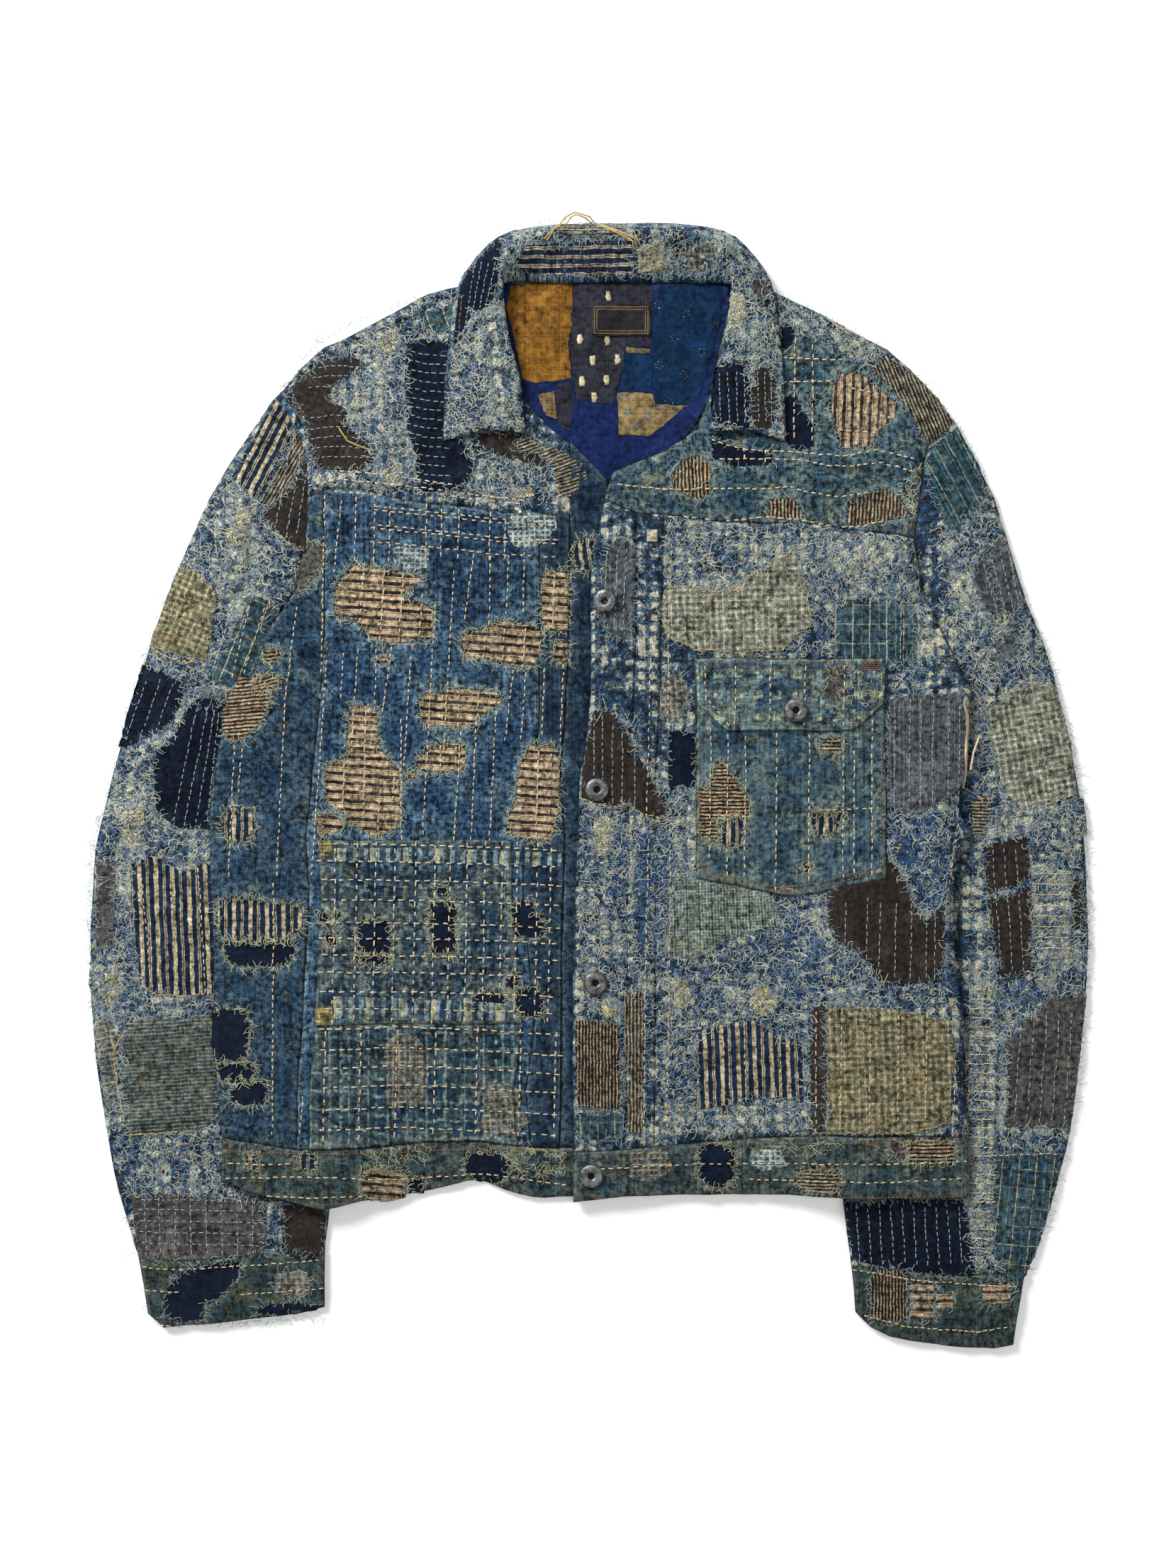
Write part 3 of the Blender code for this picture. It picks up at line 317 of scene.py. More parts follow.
def boucle(name, codes, share, seed=0, blocks=0.5):
    """Loose looped weave, its codes for ground, mid blue, pale blue and cream: curling threads and
    blocks of thick basket weave. A share of 0 is all blue and 1 nearly all cream."""
    made, tree, shader = new_finish(
        name, "boucle", Sheen_Weight=0.05, Sheen_Roughness=0.5, Specular_IOR_Level=0.1, Roughness=0.95
    )
    ground, mid, pale, cream = shades(codes)
    place = cut_place(tree)
    bent = joined(tree, "TexNoise", Vector=place, Scale=0.22, Detail=2, Roughness=0.5)
    push = tree.nodes.new("ShaderNodeVectorMath")
    push.operation = "MULTIPLY_ADD"
    tree.links.new(bent.outputs["Color"], push.inputs[0])
    push.inputs[1].default_value = (5, 5, 0)
    tree.links.new(place.socket, push.inputs[2])
    curled = Signal(tree, push.outputs["Vector"])
    woven = placed(tree, "Woven threads", Place=curled, Thread=1.2, Twill=0)
    fine = placed(tree, "Woven threads", Place=place, Thread=0.6, Twill=0)
    lumps = cloud(tree, place, 0.035, 3, 0.6)
    patchy = cloud(tree, place, 0.16, 3, 0.6)
    speck = cloud(tree, place, 1, 2, 0.6)
    across, up = split(tree, curled)
    column = (((across / 8.8).part() - 0.5).do("ABSOLUTE") * -2 + 0.62).ramp(-0.12, 0.16)
    row = (((up / 8.4).part() - 0.5).do("ABSOLUTE") * -2 + 0.6).ramp(-0.12, 0.16)
    plaid = column * row * 0.55 + column * 0.3 + row * 0.15
    colour = dye(tree, (patchy - 0.5) * 2.2 + fine["Tone"] * 0.6 + 0.2, ground, mid)
    fuzz = plaid * 0.8 + (speck - 0.5) * 3 + (lumps - 0.5) * 3.6 + (patchy - 0.5) * 1.8
    fuzz = fuzz + (share - 0.5) * 0.7
    colour = dye(tree, (fuzz - 0.38).ramp(0, 0.35) * 0.9, colour, pale)
    raised_by = fine["Height"] * 0.35 + (speck - 0.5) * 0.8
    for turn, (tint, limit) in enumerate(((mid, -0.3), (pale, 0), (pale, 0.1), (cream, 0.14))):
        start = (31 * turn + seed, 17 * turn, 0)
        moved = joined(tree, "Mapping", Vector=place, Location=start, Rotation=(0, 0, 0.7 * turn))
        spot = Signal(tree, moved.outputs["Vector"])
        bends = cloud(tree, spot, 0.5, 1.5, 0.5, distortion=0.6)
        line = ((bends - 0.5).do("ABSOLUTE") * -1 + 0.042).ramp(0, 0.03)
        here = cloud(tree, spot, 0.11, 3, 0.65) + (lumps - 0.5) * 0.8
        here = here + ((share - 0.5) * 0.5 - 0.45 - limit)
        line = line * here.ramp(-0.02, 0.05)
        colour = dye(tree, line, colour, tint)
        raised_by = raised_by + line * 0.6
    basket = plaid + (lumps - 0.5) * 4.2 + (patchy - 0.5) * 1.8 + (share + blocks - 1) * 0.6
    basket = (basket - 0.8).ramp(0, 0.3) * (woven["Tone"] - 0.1).ramp(0, 0.08)
    straw = tuple(0.55 * low + 0.45 * high for low, high in zip(pale, cream))
    colour = dye(tree, basket, colour, dye(tree, woven["Tone"], straw, cream))
    raised_by = raised_by + basket * woven["Height"]
    # How light each place is: painted shade where the loops lie low, and patchy random tone.
    light = (raised_by * 1.3 + (patchy - 0.5) * 3.3 + 0.16).do("MAXIMUM", 0.07)
    dressed(tree, shader, colour, raised_by, 1, 0.0018, light)
    return made


blue_boucle = boucle("blue and cream boucle", "1a3450 32608a 9fb8c2 e4ddb8", 0.45)
faded_denim = cloth(
    "faded waistband denim", "faded_denim", "22394e 335064 738a90", twill=1, fade=0.1, stain=0.08,
    stained="9a9468", seed=40,
)

# The jacket's longest soft fold: ends (across, up, across, up), half width and height, in mm.
ELBOW_FOLD = (-330, 20, -262, 62, 12, 1)
FACES_UP = 0.35
LEVELS = {}


def rise_of(points, folds):
    """The height that ridges (up) and troughs (down) add at each point, all in millimetres."""
    rise = np.zeros(len(points))
    for x0, y0, x1, y1, half, height in folds:
        near = np.clip(1 - away_from(((x0, y0), (x1, y1)), points, False) / half, 0, 1)
        rise += height * near * near * (3 - 2 * near)
    return rise


def inside(outline, x, y):
    within = False
    for (x0, y0), (x1, y1) in zip(outline, outline[1:] + outline[:1]):
        if (y0 > y) != (y1 > y) and x < (x1 - x0) * (y - y0) / (y1 - y0) + x0:
            within = not within
    return within


def away_from(outline, points, closed=True):
    """Distance of each point from an outline's edge."""
    least = np.full(len(points), 1e9)
    for start, end in zip(outline, outline[1:] + outline[:1] if closed else outline[1:]):
        start, along = np.array(start), np.array(end) - np.array(start)
        share = np.clip((points - start) @ along / max(along @ along, 1e-9), 0, 1)
        least = np.minimum(least, np.linalg.norm(points - start - share[:, None] * along, axis=1))
    return least


def cut_fine(bm, cell, torn=()):
    """Cuts the faces that look up until no edge of theirs is longer than a cell, in mm; where torn
    places are given, only close to their edges."""
    for _turn in range(8):
        found = {edge for face in bm.faces if face.normal.z > FACES_UP for edge in face.edges}
        long_edges = [edge for edge in found if edge.calc_length() > cell * 0.001]
        if torn and long_edges:
            middles = np.array([(e.verts[0].co + e.verts[1].co)[:2] for e in long_edges]) * 500
            close = np.zeros(len(middles), bool)
            for hole in torn:
                close |= away_from(hole, middles) < 3.5
            long_edges = [edge for edge, is_close in zip(long_edges, close) if is_close]
        if not long_edges:
            break
        bmesh.ops.subdivide_edges(bm, edges=long_edges, cuts=1)
        bmesh.ops.triangulate(bm, faces=[face for face in bm.faces if len(face.verts) > 3])


def cloth_shell(node, finish, folds=(), holes=(), cell=4.9, dip=0.9):
    """The cloth of one piece: a copy of its solid, cut fine on the side that shows, its edges
    rounded into the seams, its folds raised and its torn places sunk."""
    bm = bmesh.new()
    bm.from_mesh(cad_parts[node].data)
    wear = bm.verts.layers.float.new("wear")
    bmesh.ops.remove_doubles(bm, verts=bm.verts, dist=0.00002)
    cut_fine(bm, cell)
    box_low, box_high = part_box(node)
    torn = []
    for hole in holes:
        ends = np.array(hole) / 1000
        if (ends.max(0) > box_low[:2]).all() and (ends.min(0) < box_high[:2]).all():
            torn.append(hole)
    if torn:
        cut_fine(bm, 1.8, torn)
    top = {vert for face in bm.faces if face.normal.z > FACES_UP for vert in face.verts}
    rim = {vert for vert in top if any(face.normal.z <= FACES_UP for face in vert.link_faces)}
    inner = [vert for vert in top if vert not in rim]
    for _turn in range(8):
        bmesh.ops.smooth_vert(bm, verts=inner, factor=0.5, use_axis_z=True)
    tree = kdtree.KDTree(len(rim))
    for number, vert in enumerate(rim):
        tree.insert((vert.co.x, vert.co.y, 0), number)
    tree.balance()
    verts = list(top)
    points = np.array([vert.co[:2] for vert in verts]) * 1000
    rise = rise_of(points, [ELBOW_FOLD, *folds])
    for number, vert in enumerate(verts):
        x, y = points[number]
        away = tree.find((vert.co.x, vert.co.y, 0))[2] * 1000
        rounded = max(0, 1 - away / 3.2)
        spot = Vector((x * 0.055, y * 0.055, 0))
        lumps = 1.5 * noise.noise(spot) + 0.8 * noise.noise(spot * 2.7)
        pucker = 0.7 * math.exp(-away / 7) * noise.noise(Vector((x * 0.16, y * 0.16, 5)))
        height = rise[number] * 1.8 * min(1, away / 6) + lumps + pucker - dip * rounded * rounded
        # Near each rim, a value for pale rubbed wear that, right at the rim, also paints a dark seam shade.
        vert[wear] = 0.9 * math.exp(-away / 2.4)
        vert.co.z += height / 1000
    LEVELS[node] = BVHTree.FromBMesh(bm)
    for hole in torn:
        away = away_from(hole, points)
        for number in np.nonzero(away < 60)[0]:
            vert = verts[number]
            if inside(hole, *points[number]):
                vert.co.z -= 0.0013 * min(1, away[number] / 0.8)
            # Round torn places the same value gives pale wear and, right at the torn edge, painted shade.
            vert[wear] = max(vert[wear], 0.95 * math.exp(-away[number] / 3.5))
    if torn:
        for vert in {vert for face in bm.faces if face.normal.z < -FACES_UP for vert in face.verts} - top:
            vert.co.z -= min(0.0024, max(0, vert.co.z - 0.0003))
    for vert in bm.verts:
        spot = vert.co * 28
        vert.co.x += 0.0011 * noise.noise(Vector((spot.x, spot.y, 1)))
        vert.co.y += 0.0011 * noise.noise(Vector((spot.x, spot.y, 9)))
    return finished(bm, node + "_cloth", finish, (node,))


def finished(bm, name, finish, nodes=(), smooth=60):
    """A mesh object from a bmesh, mapped where it isn't yet, coloured, riding with the jacket."""
    mesh = bpy.data.meshes.new(name)
    bm.to_mesh(mesh)
    bm.free()
    if "cut" not in mesh.uv_layers:
        layer = mesh.uv_layers.new(name="cut")
        ends = np.zeros(len(mesh.loops), np.int32)
        mesh.loops.foreach_get("vertex_index", ends)
        co = np.zeros(len(mesh.vertices) * 3)
        mesh.vertices.foreach_get("co", co)
        co = co.reshape(-1, 3)[ends] * 1000
        layer.data.foreach_set("uv", np.stack((co[:, 0], co[:, 1] - co[:, 2]), axis=1).ravel())
    mesh.shade_smooth()
    mesh.set_sharp_from_angle(angle=math.radians(smooth))
    mesh.materials.append(finish)
    piece = bpy.data.objects.new(name, mesh)
    bpy.context.scene.collection.objects.link(piece)
    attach(piece, "root")
    if nodes:
        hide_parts(*nodes)
    return piece


def laid(piece, node):
    """Works out, from a CAD node, how large its cut is laid flat, seam to seam, and its area. Nothing is
    kept of them.
    """
    low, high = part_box(node)
    area = sum(face.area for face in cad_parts[node].data.polygons if face.normal.z > FACES_UP)
    flat = [round(high.x - low.x, 3), round(high.y - low.y, 3)]
    if area < 0.4 * flat[0] * flat[1]:
        flat[1] = max(0.012, round(area / flat[0] / 0.9, 3))
    area = min(area, flat[0] * flat[1])


laid(cloth_shell("back_panel", blue_boucle, cell=12), "back_panel")
laid(cloth_shell("back_waistband", faded_denim), "back_waistband")
for node in ("back_yoke_left", "back_yoke_right"):
    laid(cloth_shell(node, blue_boucle), node)

# The wearer's right front: mid-blue denim quilted with running stitches, torn through in places to
# a tan cloth with paired navy lines, its side panel and the denim of its front edge. Patches,
# stitches and frays are sewn along the photograph's own rows.

mid_denim = cloth(
    "mid-blue denim", "mid_denim", "1a324e 2b4d6c 6f8d99", thread=0.55, twill=1, stain=0.06,
    stained="8d8c62", bump=0.45, seed=12, rub=0.7, slub=0.9,
)
side_denim = cloth(
    "side denim", "faded_denim", "152c43 213d54 587079", thread=0.55, twill=1, fade=0.14, stain=0.1,
    stained="646a54", bump=0.45, seed=83, rub=0.8, slub=0.8,
)
edge_denim = cloth(
    "dark edge denim", "mid_denim", "14243a 1f3850 54707c", thread=0.55, twill=1, stain=0.03, seed=19,
)
tan_stripe = cloth(
    "tan cloth with navy lines", "stripe_cloth", "b09b7d a48f70 b8a88f", thread=0.45,
    lines=((1, 6.2, 0, 2.3, "080d1c"), (1, 6.2, 2.2, 0.5, "554941")), fade=-0.1, bump=0.3, seed=3,
    rub=0.1,
)
hickory = cloth(
    "navy and tan stripe", "stripe_cloth", "112039 17283f 344657", thread=0.5,
    lines=((0, 11.6, 0, 2.9, "b4a684"), (0, 11.6, 5.3, 0.8, "a59a79"), (0, 11.6, 6.6, 0.8, "a59a79")),
    fade=-0.1, stain=0.02, bump=0.3, seed=5, rub=0.2,
)
navy_twill = cloth(
    "navy twill", "dark_denim", "0b1930 11253f 30455c", thread=0.7, twill=1, fade=-0.45, bump=0.8, seed=7,
    rub=0.15, slub=0.2,
)
pepper_check = cloth(
    "black and cream fine stripe", "stripe_cloth", "1e1d1d 292725 6e6656", thread=0.8,
    lines=((1, 2.6, 0, 1.3, "c0ae8c"), (1, 10.4, 1.3, 1, "c08e6c")), fade=-0.2, bump=0.8, seed=9, rub=0.3,
)
grey_wool = cloth(
    "grey wool", "grey_wool", "434244 55534f 7c7870", thread=0.9, stain=0.02, bump=0.7, sheen=0.12,
    seed=14, rub=0.3,
)
worn_check = cloth(
    "worn tan check", "teal_check", "3a5262 4a5f66 94998a", thread=0.55,
    lines=((1, 4, 0, 1.1, "9a8a6c"), (0, 4, 0, 1.1, "8f8064"), (0, 12, 2, 0.8, "4a4440")), stain=0.1,
    stained="a08a5e", seed=16, rub=0.6,
)
straw_check = cloth(
    "straw check", "stripe_cloth", "93864e a89a5c c0b37a",
    lines=((1, 4.2, 0, 0.9, "5a5f4c"), (0, 4.2, 0, 0.8, "6d6c50")), stain=0.1, stained="7d6a38", seed=17,
    rub=0.4,
)
pale_check = cloth(
    "pale blue check", "faded_denim", "34506a 3d5c74 8fa0a0", thread=0.7,
    lines=((1, 3.4, 0, 1.2, "b1b09a"), (0, 3.8, 0, 1.4, "9caaa2")), fade=0.1, stain=0.1, stained="a39a68",
    seed=21, rub=0.7,
)

PICTURE_MIDDLE = (831, 1110)
MM_A_STEP = 0.5


def spot_at(across, down):
    """A place in millimetres from the photograph's own steps across and down."""
    return (across - PICTURE_MIDDLE[0]) * MM_A_STEP, (PICTURE_MIDDLE[1] - down) * MM_A_STEP


def chart(text):
    """Points in millimetres from a line of across,down pairs."""
    return [spot_at(*map(float, pair.split(","))) for pair in text.split()]


def charts(text):
    return [chart(line) for line in text.split("/")]


def level_rows(heights, *spots):
    """A line across the cloth for each height: its spots are places across and drops below it."""
    return [[spot_at(across, down + drop) for across, drop in spots] for down in heights]


def columns(places, *spots):
    """A line up the cloth for each place across: its spots are leans from it and heights."""
    return [[spot_at(across + lean, down) for lean, down in spots] for across in places]


TORN_RIGHT = [
    "500,790 505,798 530,800 549,803 570,808 592,812 594,818 583,828 571,838 570,846 590,849 604,855 "
        "611,862 611,880 610,897 606,903 592,903 578,907 560,907 540,906 528,902 515,890 505,879 490,873 "
        "474,871 471,862 472,845 474,828 480,815 492,803",
    "651,900 660,890 681,887 694,882 714,875 730,882 745,882 763,888 763,905 761,926 752,941 735,942 "
        "715,940 700,935 685,928 668,929 656,926 651,915",
    "592,990 598,977 620,978 640,971 655,971 690,975 698,975 708,982 706,992 690,1004 676,1010 668,1020 "
        "655,1027 632,1024 605,1024 595,1016 592,1000",
    "587,1072 600,1060 612,1052 632,1047 652,1050 657,1062 655,1075 650,1087 628,1090 596,1089 588,1082",
    "493,1003 500,996 516,996 530,1003 533,1012 533,1046 538,1056 551,1073 562,1084 564,1100 564,1160 "
        "558,1170 538,1178 520,1178 510,1168 492,1160 486,1146 466,1135 460,1122 459,1098 462,1080 "
        "480,1073 492,1066 489,1040",
    "450,1148 470,1148 484,1158 484,1170 462,1177 450,1175",
    "764,812 770,806 790,806 802,810 802,840 802,885 796,891 776,890 764,884 764,850",
    "781,908 801,903 802,936 790,938 780,925",
    "748,1048 755,1052 772,1050 789,1060 789,1120 789,1145 783,1160 778,1186 752,1186 731,1180 713,1174 "
        "717,1150 727,1130 731,1090 735,1072 744,1058",
    "531,929 549,928 549,937 532,937", "574,1088 587,1087 587,1100 575,1100",
    "807,772 816,764 828,757 838,762 838,790 832,804 810,804",
]
TORN_DARK = [
    "505,1340 507,1302 528,1299 549,1298 549,1315 553,1330 548,1345 520,1344",
    "500,1349 520,1348 547,1348 547,1361 528,1362 516,1358 504,1360",
    "607,1276 625,1272 643,1275 645,1290 640,1310 644,1330 642,1346 625,1347 608,1346 610,1330 606,1310 "
        "609,1290",
    "614,1250 624,1246 631,1250 632,1264 624,1266 616,1265",
    "720,1276 735,1270 752,1273 755,1289 768,1302 767,1320 750,1324 728,1321 723,1300",
    "712,1384 722,1374 731,1376 731,1390 722,1399 713,1394",
    "724,1400 742,1393 752,1392 765,1402 767,1428 760,1435 738,1434 728,1424",
    "664,1412 674,1403 697,1399 712,1401 715,1414 702,1423 688,1418 672,1424",
    "459,1320 467,1315 479,1319 477,1331 464,1333", "449,1291 458,1286 466,1292 461,1301 451,1300",
    "472,1290 480,1286 484,1292 477,1298",
]
STRAW = ["450,1187 468,1185 471,1203 460,1208 450,1204", "446,1420 470,1417 471,1440 452,1445 445,1438"]
SIDE_TORN = [
    "338,1137 350,1140 360,1150 363,1165 358,1181 347,1189 332,1190 320,1182 314,1168 316,1152 326,1141",
    "309,1270 340,1268 385,1272 425,1278 432,1292 424,1312 410,1324 370,1326 330,1326 312,1320 307,1296",
    "319,1327 370,1328 412,1326 419,1340 410,1358 385,1362 350,1364 328,1360 318,1345",
    "301,1425 320,1421 346,1424 354,1440 352,1470 350,1494 330,1497 306,1494 299,1470",
    "310,1500 335,1498 362,1499 363,1512 356,1526 330,1527 312,1522",
    "327,1523 350,1521 377,1524 379,1540 374,1556 345,1558 328,1552",
    "372,916 394,914 397,925 388,935 371,934", "356,952 380,950 396,956 392,974 370,976 355,968",
    "316,962 335,955 358,958 380,972 384,990 376,1010 362,1030 345,1044 325,1044 314,1025 314,990",
    "424,766 440,762 456,770 457,790 448,812 432,828 418,838 414,822 418,790",
]
hem_lift = [
    (-190, 40, -150, -5, 9, -0.9), (-218, 92, -160, 112, 10, 1), (-35, 150, -35.5, 40, 5, 1.6),
    (-47, 10, -47, -45, 6, 1.2), (-38, -185, -44, -212, 4, -1.4), (-44, -212, -40, -250, 4, -1.4),
    (-218, 90, -176, 112, 8, 1.2), (-223, 52, -176, 25, 9, 1), (-180, 60, -120, 140, 12, 0.9),
    (-120, 60, -70, 150, 14, 0.8),
]

torn = charts(" / ".join(TORN_RIGHT + TORN_DARK + SIDE_TORN))
front_right = cloth_shell("front_panel_right", mid_denim, hem_lift, torn)
side_right = cloth_shell("side_panel_right", side_denim, hem_lift, torn)
band_right = cloth_shell("front_band_right", edge_denim, (), torn)
placket_right = cloth_shell("placket_right", edge_denim, (), torn, 9)
right_levels = ("front_panel_right", "side_panel_right", "front_band_right", "placket_right")

quilt = cloth(
    "quilted blue denim", "faded_denim", "162c43 25445d 8b9a8b",
    lines=((0, 8.4, 0, 2.4, "0e1f34"), (1, 12, 3, 2.2, "13273d")), fade=0.02, stain=0.05,
    stained="9c946d", seed=33, rub=0.9,
    blocks=((6.8, 11.8, 2.6, 6.5, "5e7980"), (13.6, 23.6, 3.6, 9, "828e82")),
)
bar_denim = cloth(
    "barred denim", "faded_denim", "1b334b 27445f 98a18c",
    lines=((0, 7.6, 0, 3.2, "7d9092"), (0, 22.8, 3, 3.4, "a9a98c")), stain=0.04, stained="b0a878",
    seed=35.5, rub=0.8,
)
grid_denim = cloth(
    "grid denim", "mid_denim", "193044 284659 79877b", lines=((0, 13.5, 0, 1.4, "6a7f7b"),), stain=0.05,
    stained="938b65", seed=37, rub=0.8, blocks=((12, 13, 2, 10, "889586"), (11, 12.5, 9, 2.2, "839282")),
)
quilt_rows = [1190, 1214, 1240, 1268, 1300, 1322, 1346, 1370, 1397, 1421]
quilt_lines = [475, 505, 531, 558, 587, 614, 636, 660, 685, 709, 730, 759, 778]
grid_rows = [1451, 1480, 1506, 1533, 1564, 1593]
grid_lines = [461, 483, 511, 534, 561, 591, 615, 646, 674, 700, 735, 770, 785]
troughs = level_rows(quilt_rows + grid_rows, (447, 0), (795, 9))
quilt_folds = [(*start, *end, 5, -0.7) for start, end in troughs]
troughs = columns(quilt_lines, (0, 1183), (-5, 1445)) + columns(grid_lines, (0, 1450), (-4, 1612))
quilt_folds += [(*start, *end, 4.5, -0.6) for start, end in troughs]
quilted = cloth_shell("quilted_square_patch", quilt, quilt_folds, torn, 3.4)
gridded = cloth_shell("stitched_grid_patch", grid_denim, quilt_folds, torn, 3.6)
quilt_levels = right_levels + ("quilted_square_patch", "stitched_grid_patch")


def height_at(levels, x, y):
    """Height of the highest named cloth under a place, all in metres, or None off the cloth."""
    best = None
    for name in levels:
        hit = LEVELS[name].ray_cast(Vector((x, y, 0.1)), Vector((0, 0, -1)))[0]
        if hit and (best is None or hit.z > best):
            best = hit.z
    return best


def ragged(outline, step=2.2, rough=0.5):
    """An outline with points a step apart, each a little off the line."""
    out = []
    for (x0, y0), (x1, y1) in zip(outline, outline[1:] + outline[:1]):
        size = math.hypot(x1 - x0, y1 - y0)
        count = max(1, round(size / step))
        for k in range(count):
            share, off = k / count, rough * chance.uniform(-1, 1)
            x = x0 + (x1 - x0) * share - (y1 - y0) / size * off
            out.append((x, y0 + (y1 - y0) * share + (x1 - x0) / size * off))
    return out


# Past the cloth's edge, the lowest cloth at these places beside it, in metres, gives the height.
BESIDE = ((0.004, 0), (-0.004, 0), (0, 0.004), (0, -0.004), (0.009, 0), (-0.009, 0))


def add_patch(bm, outline, angle, levels, lift):
    """A cut of cloth laid on the named ones. With no lift it lies under their torn edge."""
    start = len(bm.verts)
    face = bm.faces.new([bm.verts.new((x / 1000, y / 1000, 0)) for x, y in outline])
    if face.calc_area() <= 0:
        return
    face.normal_update()
    if face.normal.z < 0:
        face.normal_flip()
    bmesh.ops.inset_individual(bm, faces=[face], thickness=0.0008, use_even_offset=False)
    bm.verts.ensure_lookup_table()
    rim = set(bm.verts[start : start + len(outline)])
    made = bmesh.ops.triangulate(bm, faces=[face])["faces"]
    for _turn in range(6):
        long_edges = {e for f in made for e in f.edges if e.calc_length() > 0.005 and not e.is_boundary}
        if not long_edges:
            break
        bmesh.ops.subdivide_edges(bm, edges=list(long_edges), cuts=1)
        bm.verts.ensure_lookup_table()
        made = {f for v in bm.verts[start:] for f in v.link_faces}
        bmesh.ops.triangulate(bm, faces=[f for f in made if len(f.verts) > 4])
        bm.verts.ensure_lookup_table()
        made = {f for v in bm.verts[start:] for f in v.link_faces}
    layer = bm.loops.layers.uv["cut"]
    wear = bm.verts.layers.float["wear"]
    turn = math.radians(angle)
    for vert in bm.verts[start:]:
        level = height_at(levels, vert.co.x, vert.co.y)
        if level is None:
            level = min(height_at(levels, vert.co.x + dx, vert.co.y + dy) or 9 for dx, dy in BESIDE)
            level = 0.006 if level > 1 else level - 0.001
        if lift == 0:
            vert.co.z = level - 0.0006
        elif vert in rim:
            vert.co.z = level - 0.0004
        else:
            spot = vert.co * 130
            vert.co.z = level + lift / 1000 + 0.00025 * noise.noise(Vector((spot.x, spot.y, 3)))
        vert[wear] = 0.6 if vert in rim else 0
        for loop in vert.link_loops:
            x, y = vert.co.x * 1000, vert.co.y * 1000
            along = x * math.cos(turn) + y * math.sin(turn)
            loop[layer].uv = (along, y * math.cos(turn) - x * math.sin(turn))


def patches(part, levels, rows, stands_for=None):
    """Sews on the rows of a table: cloth, angle of its weave, lift (0 for a place that is torn
    through to it), outline. Those of one cloth become one piece, which also stands for CAD nodes."""
    made = []
    by_cloth = {}
    for finish, *row in rows:
        by_cloth.setdefault(finish, []).append(row)
    for finish, cuts in by_cloth.items():
        bm = bmesh.new()
        bm.loops.layers.uv.new("cut")
        bm.verts.layers.float.new("wear")
        for angle, lift, outline in cuts:
            add_patch(bm, ragged(chart(outline), rough=0.45), angle, levels, lift)
        name = part + "_" + finish.name.replace(" ", "_")
        LEVELS[name] = BVHTree.FromBMesh(bm)
        nodes = (stands_for or {}).get(finish, ())
        made.append(finished(bm, name, finish, nodes))
    return made


rows = [(tan_stripe, -4, 0, row) for row in TORN_RIGHT[:11]]
rows += [(hickory, 8, 0, TORN_RIGHT[11])]
rows += [
    (hickory, 0, 0, SIDE_TORN[0]), (hickory, 0, 0, SIDE_TORN[1]), (pepper_check, 8, 0, SIDE_TORN[6]),
    (pepper_check, 12, 0, SIDE_TORN[7]), (pepper_check, 5, 0, SIDE_TORN[8]),
    (grey_wool, 20, 0, SIDE_TORN[9]),
    (pale_check, 2, 0.3, "720,724 750,722 782,728 786,745 770,762 748,775 724,770 716,750"),
    (pale_check, -3, 0.3, "555,772 580,768 606,774 604,800 580,806 556,798"),
    (worn_check, 0, 0.3, "545,1470 562,1456 588,1462 600,1478 606,1502 598,1521 602,1540 588,1562 "
     "570,1556 552,1565 543,1540 549,1516 542,1494"),
    (worn_check, 4, 0.3, "680,1536 700,1527 722,1531 738,1540 734,1562 746,1582 728,1602 704,1598 "
     "688,1608 677,1588 684,1562"),
]
rows += [(navy_twill, 0, 0, row) for row in SIDE_TORN[2:6]]
beneath_right = patches("right_front", quilt_levels, rows)
dark_rows = [(navy_twill, 5, 0, row) for row in TORN_DARK]
dark_rows += [(straw_check, 3, 0.3, row) for row in STRAW]
dark_rows += [
    (bar_denim, -1.5, 0.25, "472,1196 560,1196 660,1198 792,1204 792,1222 690,1218 560,1215 472,1214"),
    (bar_denim, -1.5, 0.25, "472,1404 560,1408 660,1412 712,1416 712,1440 620,1440 540,1438 472,1434"),
]
beneath_quilt = patches("right_quilt", quilt_levels, dark_rows)


def thread(name, slot, code, dark=0.6):
    """Cotton thread: matt, twisted, a little uneven in tone."""
    made, tree, shader = new_finish(name, slot, Sheen_Weight=0.3, Roughness=0.85, Specular_IOR_Level=0.3)
    place = Signal(tree, tree.nodes.new("ShaderNodeTexCoord").outputs["Object"])
    tone = cloud(tree, place, 160, 3, 0.7)
    fine = cloud(tree, place, 1400, 2, 0.7)
    colour = shade(code)
    tint = dye(tree, (tone + (fine - 0.5) * 0.5).ramp(0.3, 0.7), tuple(c * dark for c in colour), colour)
    dressed(tree, shader, tint, fine, 0.5, 0.0002)
    return made


def threads(name, finish, paths, thick):
    """Many short threads as one piece: each path, in metres, becomes a low ridge with two faces."""
    half = thick / 2000
    places, faces = [], []
    for path in paths:
        start = len(places)
        for number, (x, y, z) in enumerate(path):
            x0, y0, _ = path[max(0, number - 1)]
            x1, y1, _ = path[min(len(path) - 1, number + 1)]
            size = math.hypot(x1 - x0, y1 - y0) or 1
            side_x, side_y = (y1 - y0) / size * half, (x0 - x1) / size * half
            low = z - half * 0.5
            places += [(x - side_x, y - side_y, low), (x, y, z + half), (x + side_x, y + side_y, low)]
        for spot in range(start, len(places) - 3, 3):
            faces += [(spot, spot + 1, spot + 4, spot + 3), (spot + 1, spot + 2, spot + 5, spot + 4)]
    mesh = bpy.data.meshes.new(name)
    mesh.from_pydata(places, [], faces)
    bm = bmesh.new()
    bm.from_mesh(mesh)
    bpy.data.meshes.remove(mesh)
    finished(bm, name, finish, smooth=180)


